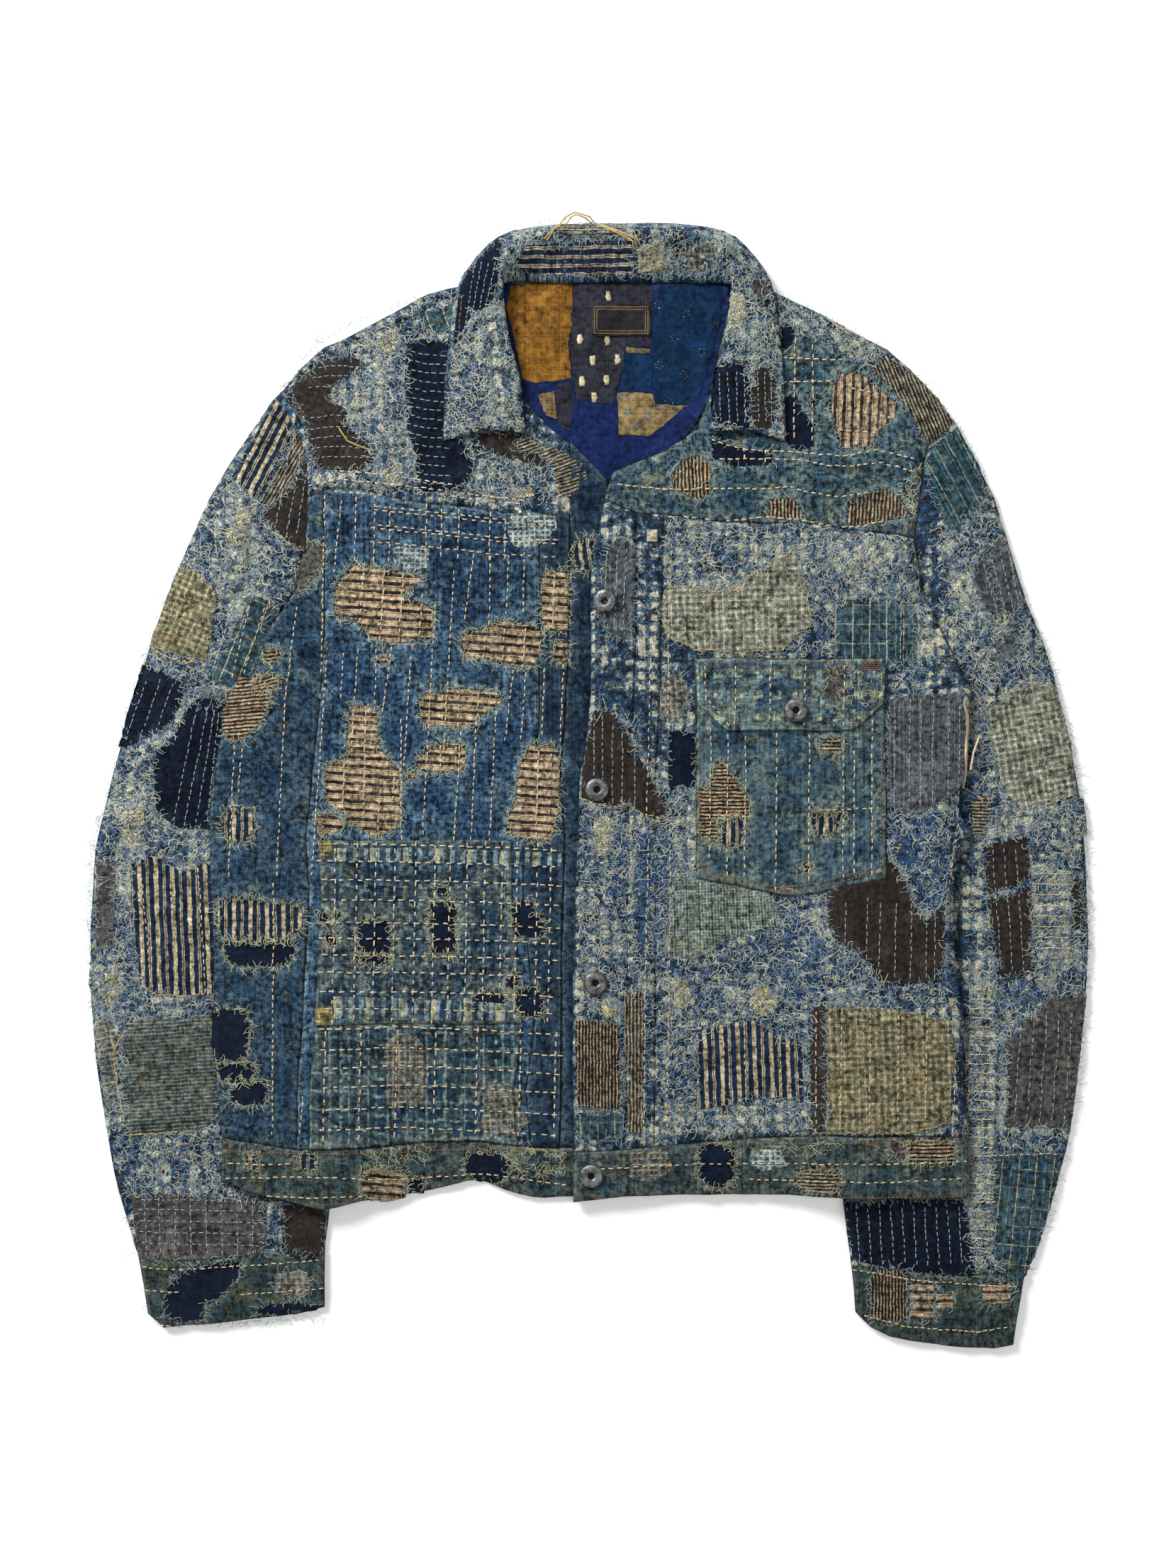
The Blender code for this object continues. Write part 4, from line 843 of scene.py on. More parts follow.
def running(levels, line, pitch=6.5, length=4, stand=0.45, wander=0.35):
    """Paths of running stitches along a line of points in millimetres."""
    paths = []
    left = chance.uniform(0, pitch)
    for (x0, y0), (x1, y1) in zip(line, line[1:]):
        size = math.hypot(x1 - x0, y1 - y0)
        ways = ((x1 - x0) / size, (y1 - y0) / size)
        while left < size:
            half = length * chance.uniform(0.38, 0.6)
            off, tilt = wander * chance.uniform(-1, 1), chance.uniform(-0.1, 0.1)
            way = (ways[0] - ways[1] * tilt, ways[1] + ways[0] * tilt)
            x, y = x0 + ways[0] * left - ways[1] * off, y0 + ways[1] * left + ways[0] * off
            path = []
            for along, up in ((-1, -0.35), (-0.72, 0.75), (0, 1), (0.72, 0.75), (1, -0.35)):
                px, py = (x + way[0] * along * half) / 1000, (y + way[1] * along * half) / 1000
                level = height_at(levels, px, py)
                if level is not None:
                    path.append((px, py, level + stand * up / 1000))
            if len(path) == 5:
                paths.append(path)
            left += pitch * chance.uniform(0.85, 1.15)
        left -= size
    return paths


def sewn(name, finish, thick, *groups):
    """One piece of running stitches. Its groups are: cloths that they lie on, lines, and the
    sizes of running."""
    paths = []
    for levels, lines, *sizes in groups:
        for line in lines:
            paths += running(levels, line, *sizes)
    threads(name, finish, paths, thick)


cream_thread = thread("cream thread", "stripe_cloth", "e3cda6")
sewn(
    "right_front_stitches", cream_thread, 0.85,
    (right_levels, charts("458,700 452,985 / 482,700 470,815 / 485,915 480,990 / 505,915 500,990 / "
     "531,915 528,1010 / 553,912 538,1010 / 566,1010 566,1190 / 580,920 570,1080 / 614,850 596,1180 / "
     "641,800 626,1060 / 668,780 655,880 / 692,780 690,880 / 718,780 714,870 / 742,700 738,870 / "
     "650,1030 640,1190 / 672,1020 664,1190 / 700,1000 690,1190 / 724,945 712,1050 / 742,945 735,1045 / "
     "768,940 765,1040 / 795,940 790,1050 / 404,985 392,1240 / 418,858 404,985 / 461,930 441,1240 / "
     "333,1050 324,1240 / 388,1240 386,1600 / 430,1540 424,1600 / 344,1050 338,1120"), 4.9, 2.9, 0.4),
    (right_levels, charts("514,796 506,900 / 542,800 536,904 / 570,800 562,904 / 597,815 592,900 / "
     "685,886 682,930 / 712,880 709,940 / 741,886 738,940 / 624,980 623,1022 / 648,975 646,1024 / "
     "675,975 674,1010 / 622,1052 621,1086 / 644,1050 642,1084 / 498,1000 496,1064 / 516,1000 512,1160 / "
     "486,1074 484,1140 / 538,1080 533,1172 / 556,1088 554,1160 / 760,1054 756,1180 / 778,1056 774,1180 "
     "/ 782,812 780,884"), 6.5, 3, 0.4),
)
sewn(
    "right_quilt_stitches", cream_thread, 0.95,
    (quilt_levels, level_rows(quilt_rows, (452, 0), (560, 2), (690, 5), (793, 10)), 6.7, 3.6, 0.5),
    (quilt_levels, columns(quilt_lines, (0, 1188), (-5, 1442)), 6.9, 3.4, 0.5),
    (quilt_levels, level_rows(grid_rows, (452, 0), (560, -3), (690, 3), (793, 10)), 6.4, 3.6, 0.5),
    (quilt_levels, columns(grid_lines[::2], (0, 1452), (-4, 1608)), 6.6, 3.6, 0.5),
)
chest_rows = level_rows((726, 731, 752, 757, 776), (525, -12), (640, -1), (700, 6), (785, 10))
sewn(
    "right_chest_stitches", cream_thread, 0.85,
    (right_levels, chest_rows, 6, 3.2),
    (right_levels, charts("470,693 600,703 700,712 790,720"), 5, 3),
    (right_levels, columns((500, 527, 549, 600, 622, 646, 690, 712), (2, 700), (0, 790)), 5.2, 3),
)


def strand(levels, x, y, heading, length, curl=0.5, steps=5):
    """One loose thread that lies on the cloth and curls as it goes."""
    path = []
    bend = chance.gauss(0, curl)
    for step in range(steps):
        level = height_at(levels, x / 1000, y / 1000)
        if level is None:
            break
        rise = 0.25 + 0.35 * chance.random() if step else -0.1
        path.append((x / 1000, y / 1000, level + rise / 1000))
        heading += bend + chance.gauss(0, 0.25)
        x += math.cos(heading) * length / (steps - 1)
        y += math.sin(heading) * length / (steps - 1)
    return path if len(path) > 2 else None


def fringe(levels, outline, every=3, length=4, out=1):
    """Paths of short frayed threads that start on an outline and curl away from it."""
    paths = []
    points = ragged(outline, step=every, rough=0.3)
    area = sum(x0 * y1 - x1 * y0 for (x0, y0), (x1, y1) in zip(outline, outline[1:] + outline[:1]))
    side = (1 if area < 0 else -1) * out
    for (x0, y0), (x1, y1) in zip(points, points[1:] + points[:1]):
        size = math.hypot(x1 - x0, y1 - y0) or 1
        across = math.atan2(-(x1 - x0) / size * side, (y1 - y0) / size * side)
        heading = across + chance.gauss(math.pi, 0.7)
        paths.append(strand(levels, x0, y0, heading, length * chance.uniform(0.5, 1.6), steps=4))
    return [path for path in paths if path]


def fringes(levels, outlines, outer, inner=None):
    """Fringes out of each outline and into it, each with its spacing and length."""
    paths = []
    for outline in outlines:
        paths += fringe(levels, outline, *outer)
        if inner:
            paths += fringe(levels, outline, *inner, -1)
    return paths


fray_thread = thread("frayed thread", "boucle", "b4b596")
frayed = fringes(quilt_levels, torn, (1.7, 4.6), (3.4, 3.4))
threads("right_front_frays", fray_thread, frayed, 0.42)

laid(front_right, "front_panel_right")
laid(side_right, "side_panel_right")
laid(placket_right, "placket_right")
laid(quilted, "quilted_square_patch")
laid(gridded, "stitched_grid_patch")

# The wearer's left front: loose looped weave in blue and cream with sewn-on patches of check,
# wool, stripe and denim, its band and its buttonhole placket.

khaki_check = cloth(
    "khaki check", "khaki_check", "696852 747058 a39877",
    lines=(
        (0, 4.6, 0, 1, "aa9f79"), (1, 4.2, 0, 0.9, "a59a74"), (0, 4.6, 2.3, 0.6, "50574e"),
        (1, 4.2, 2.1, 0.5, "565a50"),
    ),
    stain=0.1, stained="8f7444", seed=23,
)
light_khaki = cloth(
    "light khaki check", "khaki_check", "71746a 7c7f72 aeaa94",
    lines=(
        (0, 4.6, 0, 1, "b8b498"), (1, 4.2, 0, 0.9, "b2ae92"), (0, 4.6, 2.3, 0.6, "566264"),
        (1, 4.2, 2.1, 0.5, "5c6763"),
    ),
    stain=0.1, stained="94805a", seed=24,
)
tiny_check = cloth(
    "tiny check", "teal_check", "475a64 566666 8b9484", thread=0.55,
    lines=((0, 2.2, 0, 0.6, "97a08e"), (1, 2.2, 0, 0.6, "8f9884"), (0, 8.8, 0, 0.8, "2a3a44")), fade=0.05,
    stain=0.1, stained="8f8650", seed=25,
)
dark_wool = cloth(
    "brown-black wool", "dark_wool", "322821 46392f 675748", thread=0.8, twill=1, fade=-0.2, bump=0.9,
    sheen=0.12, seed=27, rub=0.3,
)
charcoal = cloth(
    "charcoal wool", "grey_wool", "545960 6b7175 97a19f", thread=0.7, twill=1, fade=-0.05, bump=0.8,
    sheen=0.12, seed=29, rub=0.3,
)
tweed = cloth(
    "black and cream tweed", "dark_wool", "1b1918 2a2521 5d5044", thread=0.9,
    lines=((0, 2.3, 0, 0.9, "c2ac8c"),), fade=-0.2, bump=1, seed=31, rub=0.3,
)
teal_grid = cloth(
    "teal windowpane", "teal_check", "223c4c 324f5c 688080", thread=0.55,
    lines=((0, 12, 0, 0.7, "bea578"), (1, 13.5, 0, 0.5, "9f9974"), (0, 12, 5.5, 0.4, "798784")),
    fade=0.05, stain=0.05, stained="85854f", bump=0.4, seed=35, rub=0.4,
)
cream_block = cloth(
    "cream basket weave", "boucle", "e0d4a6 c3b98c eee6c4", thread=1.25, fade=-0.1, stain=0.05,
    stained="a08f58", bump=1.2, seed=39, rub=0.2,
)
blue_slub = cloth(
    "blue slub", "boucle", "1b3556 2d5078 7d949e", thread=0.9, fade=0.05, bump=0.8, seed=43, rub=0.7,
)
salt_stripe = cloth(
    "salt and black stripe", "grey_wool", "232529 2f3034 7d7868", thread=0.8,
    lines=((1, 2.4, 0, 1.1, "b0a486"),), fade=-0.15, bump=0.8, seed=45, rub=0.4,
)
pale_boucle = boucle("pale looped weave", "1c3a58 38668e a6bcc2 e6dfba", 0.6, 30, 0.6)

folds_left = [
    (95, 176, 262, 150, 12, 1.2), (205, 190, 262, 108, 12, 1.6), (52, 170, 47, -40, 6, 1.3),
    (46, -60, 47, -250, 6, 1.1), (262, 60, 236, -60, 12, 1.4), (250, -40, 262, -200, 14, 1.3),
    (222, 110, 244, 20, 10, -1), (120, -110, 200, -70, 14, 0.9), (20, 60, 70, 80, 10, 0.8),
    (170, -200, 250, -225, 12, 1),
]
TORN_LEFT = ["943,1034 960,1030 982,1034 982,1060 981,1085 981,1118 960,1118 943,1116 942,1080 944,1060"]
torn = charts(TORN_LEFT[0])
front_left = cloth_shell("front_panel_left", blue_boucle, folds_left, torn)
band_left = cloth_shell("front_band_left", blue_boucle, folds_left, torn)
placket_left = cloth_shell("placket_left", blue_boucle, folds_left, torn)
left_levels = ("front_panel_left", "front_band_left", "placket_left")

placket_rows = [
    (charcoal, 0, 0.4, "871,758 885,762 899,777 894,815 893,852 889,903 876,902 862,896 845,868 842,862 "
     "850,811 858,780"),
    (dark_wool, 10, 0.5, "838,1002 866,1006 888,1040 908,1080 927,1116 944,1143 932,1152 912,1151 "
     "886,1134 862,1140 838,1132 820,1125 822,1080 830,1040"),
    (cream_block, 2, 0.6, "838,1154 858,1150 866,1172 858,1204 842,1208 836,1182"),
    (blue_slub, 4, 0.3, "866,1150 884,1152 892,1185 888,1240 872,1260 858,1262 854,1232 866,1196"),
    (tweed, 0, 0.4, "812,1440 840,1438 872,1444 876,1500 874,1562 848,1566 814,1562 812,1500"),
    (salt_stripe, 90, 0.3, "881,1402 906,1398 910,1450 908,1520 906,1597 884,1597 882,1520 880,1460"),
    (cream_block, 0, 0.5, "850,1410 868,1408 872,1430 856,1436 848,1426"),
    (teal_grid, 0, 0.3, "812,1570 846,1568 876,1570 878,1604 846,1608 814,1606"),
]
placket_pieces = patches("left_placket", left_levels, placket_rows)
front_rows = [
    (navy_twill, 2, 0, TORN_LEFT[0]),
    (light_khaki, 2, 0.8, "938,829 968,826 1010,834 1044,832 1053,814 1082,799 1120,776 1128,790 "
     "1134,815 1146,879 1126,896 1103,917 1050,920 985,917 944,899 930,864"),
    (teal_grid, 0, 0.5, "1180,846 1210,842 1250,846 1288,850 1296,880 1292,932 1250,936 1210,932 "
     "1182,934 1176,890"),
    (pale_boucle, 30, 0.6, "1140,760 1180,750 1230,756 1260,770 1290,800 1300,838 1270,848 1220,836 "
     "1180,842 1150,850 1138,810"),
    (charcoal, 0, 0.8, "1252,986 1300,980 1350,979 1360,1008 1362,1050 1357,1105 1340,1122 1316,1134 "
     "1296,1147 1270,1142 1250,1139 1251,1060"),
    (blue_slub, 0, 0.5, "1252,1150 1300,1150 1350,1140 1362,1170 1340,1220 1330,1270 1300,1290 1276,1240 "
     "1262,1210 1250,1196"),
    (tiny_check, 2, 0.8, "956,1228 985,1242 1040,1250 1091,1263 1098,1284 1100,1304 1065,1312 1032,1322 "
     "1010,1338 991,1348 968,1357 945,1352 935,1348 940,1325 944,1304 950,1262"),
    (dark_wool, 3, 0.9, "1166,1262 1200,1236 1245,1206 1262,1222 1278,1248 1291,1275 1301,1299 1330,1272 "
     "1330,1340 1325,1380 1280,1386 1240,1387 1219,1352 1200,1334 1180,1331 1166,1300"),
    (hickory, 2, 0.8, "982,1566 984,1500 986,1455 1010,1448 1033,1443 1073,1439 1080,1455 1110,1464 "
     "1132,1471 1134,1510 1132,1554 1100,1548 1060,1550 1033,1558"),
    (khaki_check, 2, 0.9, "1163,1416 1210,1418 1270,1423 1310,1432 1337,1439 1345,1479 1340,1530 "
     "1337,1581 1310,1590 1274,1597 1220,1595 1164,1597 1166,1500"),
    (dark_wool, 0, 0.5, "1144,1420 1162,1418 1164,1500 1163,1597 1144,1597 1142,1500"),
    (blue_slub, 3, 0.3, "1100,1300 1140,1296 1160,1330 1158,1400 1130,1420 1100,1404 1088,1350"),
    (cream_block, 4, 0.7, "1060,1395 1082,1390 1098,1404 1094,1428 1074,1434 1058,1420"),
    (cream_block, 0, 0.6, "948,1385 968,1382 976,1402 966,1424 950,1420"),
    (worn_check, 4, 0.4, "934,955 962,950 972,975 968,1010 946,1018 930,1004"),
    (pepper_check, 0, 0.4, "1258,1180 1282,1176 1296,1196 1290,1220 1266,1224 1254,1204"),
    (blue_slub, 0, 0.3, "900,1180 940,1170 950,1200 942,1300 930,1360 902,1370 892,1300 894,1230"),
    (pale_boucle, 0, 0.3, "955,1110 980,1110 984,1180 978,1230 960,1226 950,1170"),
]
front_pieces = patches("left_front", left_levels, front_rows, {
    light_khaki: ("check_patch_left_chest",),
    khaki_check: ("check_patch_left_hip",),
    tiny_check: ("tiny_check_patch_left_front",),
    dark_wool: ("dark_wool_patch_left_front",),
    hickory: ("striped_patch_left_front",),
})
left_all = left_levels + tuple(piece.name for piece in placket_pieces + front_pieces)

pale_thread = thread("pale blue thread", "boucle", "a3b3b4")
straw_thread = thread("straw thread", "stripe_cloth", "c9ab66")
blue_thread = thread("blue thread", "boucle", "4a6a92")
loop_thread = thread("loop thread", "boucle", "d2cfb6")
pleat_lines = charts(
    "838,1010 838,1132 / 850,1010 850,1132 / 864,1021.2 864,1132 / 878,1032.4 878,1132 / 896,1046.8 "
    "896,1132"
)
sewn(
    "left_front_pale_stitches", pale_thread, 0.6,
    (left_all, columns((1262, 1283, 1298, 1315, 1337, 1352), (0, 985), (-2, 1136)), 4.6, 3.2, 0.3),
    (left_all, columns((1192, 1222, 1240, 1262, 1284, 1306, 1318), (0, 1268), (-2, 1382)), 5, 3.4, 0.3),
    (left_all, columns((1204, 1228, 1252, 1272), (0, 850), (-1, 930)), 4.2, 3.2, 0.3),
    (left_all, pleat_lines, 5, 3.4, 0.3),
    (left_all, columns((857, 872, 884), (0, 775), (-6, 890)), 4.5, 3, 0.3),
)
sewn(
    "left_front_cream_stitches", cream_thread, 0.75,
    (left_all, charts("952,700 1000,706 1060,712 1140,722 1230,728 / 918,900 916,1000 912,1160 / "
     "915,1180 910,1400 908,1620 / 948,770 944,830 942,1020 / 946,1150 944,1380 940,1600 / 890,1160 "
     "886,1390 / 1150,1425 1150,1595 / 1350,1160 1330,1290 / 1346,1480 1342,1600 / 1020,1445 1022,1560 / "
     "1050,1442 1052,1552 / 1100,1460 1102,1552 / 1186,1420 1184,1594 / 1226,1420 1224,1594 / 1266,1424 "
     "1264,1594 / 1306,1432 1302,1590"), 5.4, 3.2, 0.4),
)
sewn(
    "left_front_straw_stitches", straw_thread, 0.9,
    (left_all, charts("938,829 968,826 1010,834 1044,832 1053,814 1082,799 1120,776 / 1134,815 1146,879 "
     "1126,896 1103,917 1050,920 985,917 944,899 930,864 / 1163,1597 1220,1596 1274,1598 1337,1582 / "
     "818,1125 862,1140 886,1134 912,1151 932,1152"), 3.6, 3.4, 0.5, 0.6),
)


def loops(levels, outline, every, length=6, curl=1, clear=()):
    """Paths of the weave's curling threads, scattered inside an outline, one per so many square mm,
    clear of the places named."""
    ends = np.array(outline)
    low, high = ends.min(0), ends.max(0)
    count = int((high[0] - low[0]) * (high[1] - low[1]) / every)
    paths = []
    for _turn in range(count):
        x, y = chance.uniform(low[0], high[0]), chance.uniform(low[1], high[1])
        if inside(outline, x, y) and not any(inside(spot, x, y) for spot in clear):
            heading = chance.uniform(0, 2 * math.pi)
            paths.append(strand(levels, x, y, heading, length * chance.uniform(0.6, 1.5), curl, 5))
    return [path for path in paths if path]


def covered_by(rows, open_weaves):
    """Outlines of a table's patches that hide the loops of the weave beneath them."""
    return [chart(row[-1]) for row in rows if row[0] not in open_weaves]


def scattered(levels, zones, spacings, covered=()):
    """Frays, blue curls and cream curls of the weave in some zones, clear of what is covered."""
    found = [], [], []
    for zone in zones:
        for paths, every, length, curl in zip(found, spacings, (6, 7, 7), (1.1, 1.2, 1.1)):
            paths += loops(levels, zone, every, length, curl, covered)
    return found


def loose_pieces(part, frayed, curls, creams):
    threads(part + "_frays", pale_thread, frayed, 0.36)
    threads(part + "_blue_curls", blue_thread, curls, 0.5)
    threads(part + "_cream_curls", loop_thread, creams, 0.45)


OPEN_WEAVES = (blue_slub, pale_boucle, cream_block)
PATCH_FRINGES = ((2.8, 4.8), (6.5, 3.4))
left_rows = placket_rows + front_rows
frayed = fringes(left_all, [chart(row[-1]) for row in left_rows], *PATCH_FRINGES)
zones = charts(
    "935,700 1290,700 1330,800 1300,970 1255,975 1255,925 990,925 940,820 / 925,1100 985,1110 985,1240 "
    "1100,1265 1245,1245 1250,1150 1362,1140 1330,1290 1345,1420 1150,1415 1140,1600 935,1600 910,1370 / "
    "840,1000 905,1010 900,1420 815,1430 818,1130"
)
more, curls, creams = scattered(left_all, zones, (12, 26, 20), covered_by(left_rows, OPEN_WEAVES))
loose_pieces("left_front", frayed + more, curls, creams)


def lying(levels, points, beside, rise):
    """A path of points in millimetres, its height above the cloth or above one given beside it."""
    spots = [(x / 1000, y / 1000) for x, y in points]
    return [(x, y, (height_at(levels, x, y) or beside) + rise) for x, y in spots]


rope = [
    lying(left_all, line, 0.012, 0.0012) for line in charts(
        "1357,990 1364,1010 1363,1050 1361,1092 1357,1112 / 1380,1040 1372,1062 1368,1086 / 1357,992 "
        "1362,1012 1361,1052 1359,1090"
    )
]
threads("left_front_rope", cream_thread, rope, 1.5)

laid(front_left, "front_panel_left")
laid(placket_left, "placket_left")

# The wearer's right sleeve and cuff: looped weave with stripes, checks, wools and dark indigo
# sewn on all the way down, and a denim cuff torn through to navy.

olive_check = cloth(
    "olive and teal check", "khaki_check", "47524c 3f5057 798072", thread=0.55,
    lines=((0, 2.6, 0, 0.9, "273e4c"), (1, 2.6, 0, 0.8, "82806d")), stain=0.1, stained="7e7240", seed=51,
)
indigo = cloth("dark indigo", "dark_denim", "091020 0e192d 253547", fade=-0.12, seed=53, rub=0.4)
cuff_denim = cloth(
    "olive blue cuff denim", "faded_denim", "1c313b 2a3f43 5e6859", twill=1, fade=0.1, stain=0.12,
    stained="797349", seed=57, rub=0.7,
)
brown_wool = cloth(
    "worn brown wool", "dark_wool", "2c2320 3a302a 5e5248", thread=0.8, twill=1, fade=-0.1, bump=0.9,
    sheen=0.12, seed=59,
)

sleeve_folds = [
    (-233, 210, -300, 60, 16, 1.4), (-262, 150, -330, 10, 12, -1), (-240, 60, -312, 20, 12, 1.5),
    (-300, 0, -345, -40, 14, 1.2), (-345, -70, -280, -95, 12, 1.3), (-350, -150, -290, -140, 14, -1),
    (-340, -180, -285, -170, 12, 1.3), (-335, -240, -270, -225, 12, 1.2), (-320, -270, -250, -262, 9, -1),
    (-300, 90, -262, 60, 12, 1),
]
TORN_CUFF = [
    "232,1836 240,1811 273,1788 310,1782 339,1781 337,1801 309,1832 288,1839 286,1862 255,1866 234,1856",
    "362,1856 367,1842 400,1839 430,1840 448,1842 446,1850 400,1858",
]
sleeve = cloth_shell("top_sleeve_right", blue_boucle, sleeve_folds)
cuff = cloth_shell("cuff_right", cuff_denim, (), charts(" / ".join(TORN_CUFF)))
right_sleeve = ("top_sleeve_right", "cuff_right")
sleeve_rows = [
    (hickory, -27, 0.6, "392,562 404,578 416,600 396,650 380,684 364,706 345,690 327,674 350,630 "
     "372,592"),
    (salt_stripe, 60, 0.5, "428,606 432,640 410,690 380,716 366,708 386,672 404,640 418,604"),
    (brown_wool, -20, 0.5, "434,640 440,690 438,740 429,780 408,764 390,750 368,726 384,712 412,684 "
     "424,650"),
    (cream_block, -25, 0.7, "335,720 352,716 357,736 340,742 332,734"),
    (cream_block, -20, 0.7, "320,746 344,742 352,764 332,774 318,764"),
    (pale_boucle, -25, 0.5, "300,775 346,772 350,800 344,834 312,836 298,812"),
    (khaki_check, -22, 0.9, "252,797 276,806 298,823 306,842 304,862 298,900 290,932 250,922 208,912 "
     "222,876 235,838"),
    (teal_grid, -22, 0.8, "355,840 372,844 390,853 378,890 366,930 352,954 340,964 324,970 308,962 "
     "296,950 316,920 336,880"),
    (indigo, -20, 0.6, "200,937 226,946 262,966 256,990 243,1019 212,1039 185,1050 166,1054 180,1000"),
    (charcoal, -10, 0.6, "282,972 300,970 320,974 318,990 300,1000 280,996"),
    (indigo, 3, 0.8, "279,983 300,986 319,993 314,1041 306,1095 300,1140 296,1169 270,1168 248,1166 "
     "232,1154 220,1141 217,1082 222,1060 246,1038 262,1004"),
    (cream_block, 2, 0.7, "173,1140 202,1138 206,1162 178,1168"),
    (cream_block, 2, 0.7, "172,1170 196,1168 200,1192 176,1197"),
    (grey_wool, 3, 0.7, "137,1215 150,1212 163,1216 162,1280 159,1338 144,1338 133,1334 135,1270"),
    (hickory, 2, 0.8, "184,1220 202,1212 220,1208 236,1218 253,1228 276,1222 298,1216 304,1270 305,1322 "
     "302,1401 260,1404 222,1401 208,1396 197,1389 190,1336 186,1284"),
    (pale_boucle, 2, 0.5, "127,1342 160,1338 188,1345 194,1390 192,1430 160,1436 132,1430 124,1386"),
    (cream_block, 2, 0.8, "147,1373 170,1372 171,1394 148,1396"),
    (cream_block, 4, 0.8, "142,1400 166,1398 169,1418 144,1420"),
    (olive_check, 4, 0.8, "179,1440 220,1434 260,1436 301,1430 307,1500 309,1576 294,1586 278,1594 "
     "230,1598 181,1602 174,1560 170,1508 174,1470"),
    (worn_check, 12, 0.5, "133,1432 152,1440 170,1456 166,1500 160,1558 150,1570 142,1520 134,1470"),
    (grey_wool, 3, 0.8, "184,1686 240,1684 310,1688 377,1690 376,1730 372,1768 310,1774 250,1778 "
     "194,1776 190,1730"),
    (pale_boucle, 2, 0.6, "377,1696 397,1694 399,1730 397,1768 377,1768"),
    (brown_wool, 2, 0.5, "399,1702 430,1700 458,1703 458,1740 456,1768 426,1770 399,1768"),
    (navy_twill, 12, 0, TORN_CUFF[0]), (navy_twill, 4, 0, TORN_CUFF[1]),
    (worn_check, 0, 0.3, "392,1796 424,1792 440,1806 436,1826 404,1830 388,1816"),
    (salt_stripe, 20, 0.5, "402,860 424,850 432,872 420,900 402,892"),
    (blue_slub, 0, 0.3, "330,1000 372,990 384,1060 372,1140 340,1150 326,1080"),
    (charcoal, 0, 0.4, "326,1180 364,1176 370,1240 360,1300 330,1306 322,1240"),
    (cream_block, -4, 0.7, "338,1410 366,1406 372,1438 346,1446"),
    (blue_slub, 3, 0.3, "330,1460 380,1452 392,1540 380,1600 336,1606 326,1530"),
]
made = patches("right_sleeve", right_sleeve, sleeve_rows, {
    khaki_check: ("check_patch_right_sleeve",),
    grey_wool: ("grey_patch_right_sleeve",),
    hickory: ("striped_patch_right_sleeve",),
})
levels = right_sleeve + tuple(piece.name for piece in made)

sewn(
    "right_sleeve_pale_stitches", pale_thread, 0.6,
    (levels, charts("278,1000 244,1164 / 294,1000 260,1164 / 304,1000 276,1164 / 310,1000 292,1164"),
     4.6, 3.2, 0.35),
    (levels, level_rows((1692, 1706, 1722, 1738, 1754), (196, 0), (372, 3)), 5, 2.6, 0.35),
    (levels, columns((204, 224, 246, 268, 290, 312, 334, 356), (0, 1690), (2, 1772)), 4.6, 3, 0.35),
    (levels, columns((176, 196, 216), (30, 960), (0, 1044)), 4.6, 3, 0.3),
    (levels, charts("408,640 386,756 / 424,640 404,756 / 436,640 418,756"), 4.4, 3, 0.3),
)
sewn(
    "right_sleeve_straw_stitches", straw_thread, 0.95,
    (levels, charts("373,741 388,752 405,765 428,782 / 210,912 225,922 258,935 290,934 / 197,1390 "
     "222,1403 262,1405 302,1402 / 176,1455 159,1488 165,1529 176,1594 / 318,972 319,992 / 181,1602 "
     "230,1599 278,1595"), 3.4, 3.2, 0.5, 0.5),
)
sewn(
    "right_sleeve_cream_stitches", cream_thread, 0.75,
    (levels, charts("180,1786 250,1792 340,1786 462,1778 / 176,1820 250,1824 / 340,1826 460,1818 / "
     "196,1868 300,1878 460,1862 / 330,850 300,945 / 352,856 326,960 / 372,860 342,956 / 200,1236 "
     "214,1392 / 240,1230 250,1398 / 280,1226 290,1398"), 5, 3, 0.4),
)

frayed = fringes(levels, [chart(row[-1]) for row in sleeve_rows], *PATCH_FRINGES)
SLEEVE_SPACINGS = (13, 24, 20)
zones = charts(
    "392,565 450,600 455,780 400,960 330,1180 300,1440 380,1690 180,1690 125,1480 130,1180 200,930 "
    "270,740 330,640"
)
more, curls, creams = scattered(levels, zones, SLEEVE_SPACINGS, covered_by(sleeve_rows, OPEN_WEAVES))
loose_pieces("right_sleeve", frayed + more, curls, creams)


def hairs(line, height, every=2.2, length=7, out=1):
    """Paths of frayed threads along a piece's outer edge, that stick out past it and curl."""
    paths = []
    for (x0, y0), (x1, y1) in zip(line, line[1:]):
        size = math.hypot(x1 - x0, y1 - y0)
        for k in range(max(1, int(size / every))):
            share = (k + chance.random()) / max(1, int(size / every))
            x, y = x0 + (x1 - x0) * share, y0 + (y1 - y0) * share
            heading = math.atan2(-(x1 - x0) * out, (y1 - y0) * out) + chance.gauss(0, 0.9)
            x, y = x - math.cos(heading) * 1.5, y - math.sin(heading) * 1.5
            bend, z, path = chance.gauss(0, 0.6), height, []
            reach = length * chance.uniform(0.3, 1.3)
            for _step in range(5):
                path.append((x / 1000, y / 1000, max(0.0006, z / 1000)))
                heading += bend + chance.gauss(0, 0.3)
                x, y = x + math.cos(heading) * reach / 4, y + math.sin(heading) * reach / 4
                z += chance.uniform(-0.9, 0.6)
            paths.append(path)
    return paths


edges = hairs(
    chart(
        "452,470 390,560 327,674 250,800 200,935 169,1054 140,1150 125,1213 124,1333 131,1430 150,1540 "
        "171,1640 190,1770"
    ),
    3.4, 1.6, 8, 1,
)
edges += hairs(chart("196,1790 210,1850 236,1872 460,1862"), 3, 2.6, 6, 1)
threads("right_sleeve_edge_hairs", pale_thread, edges, 0.34)

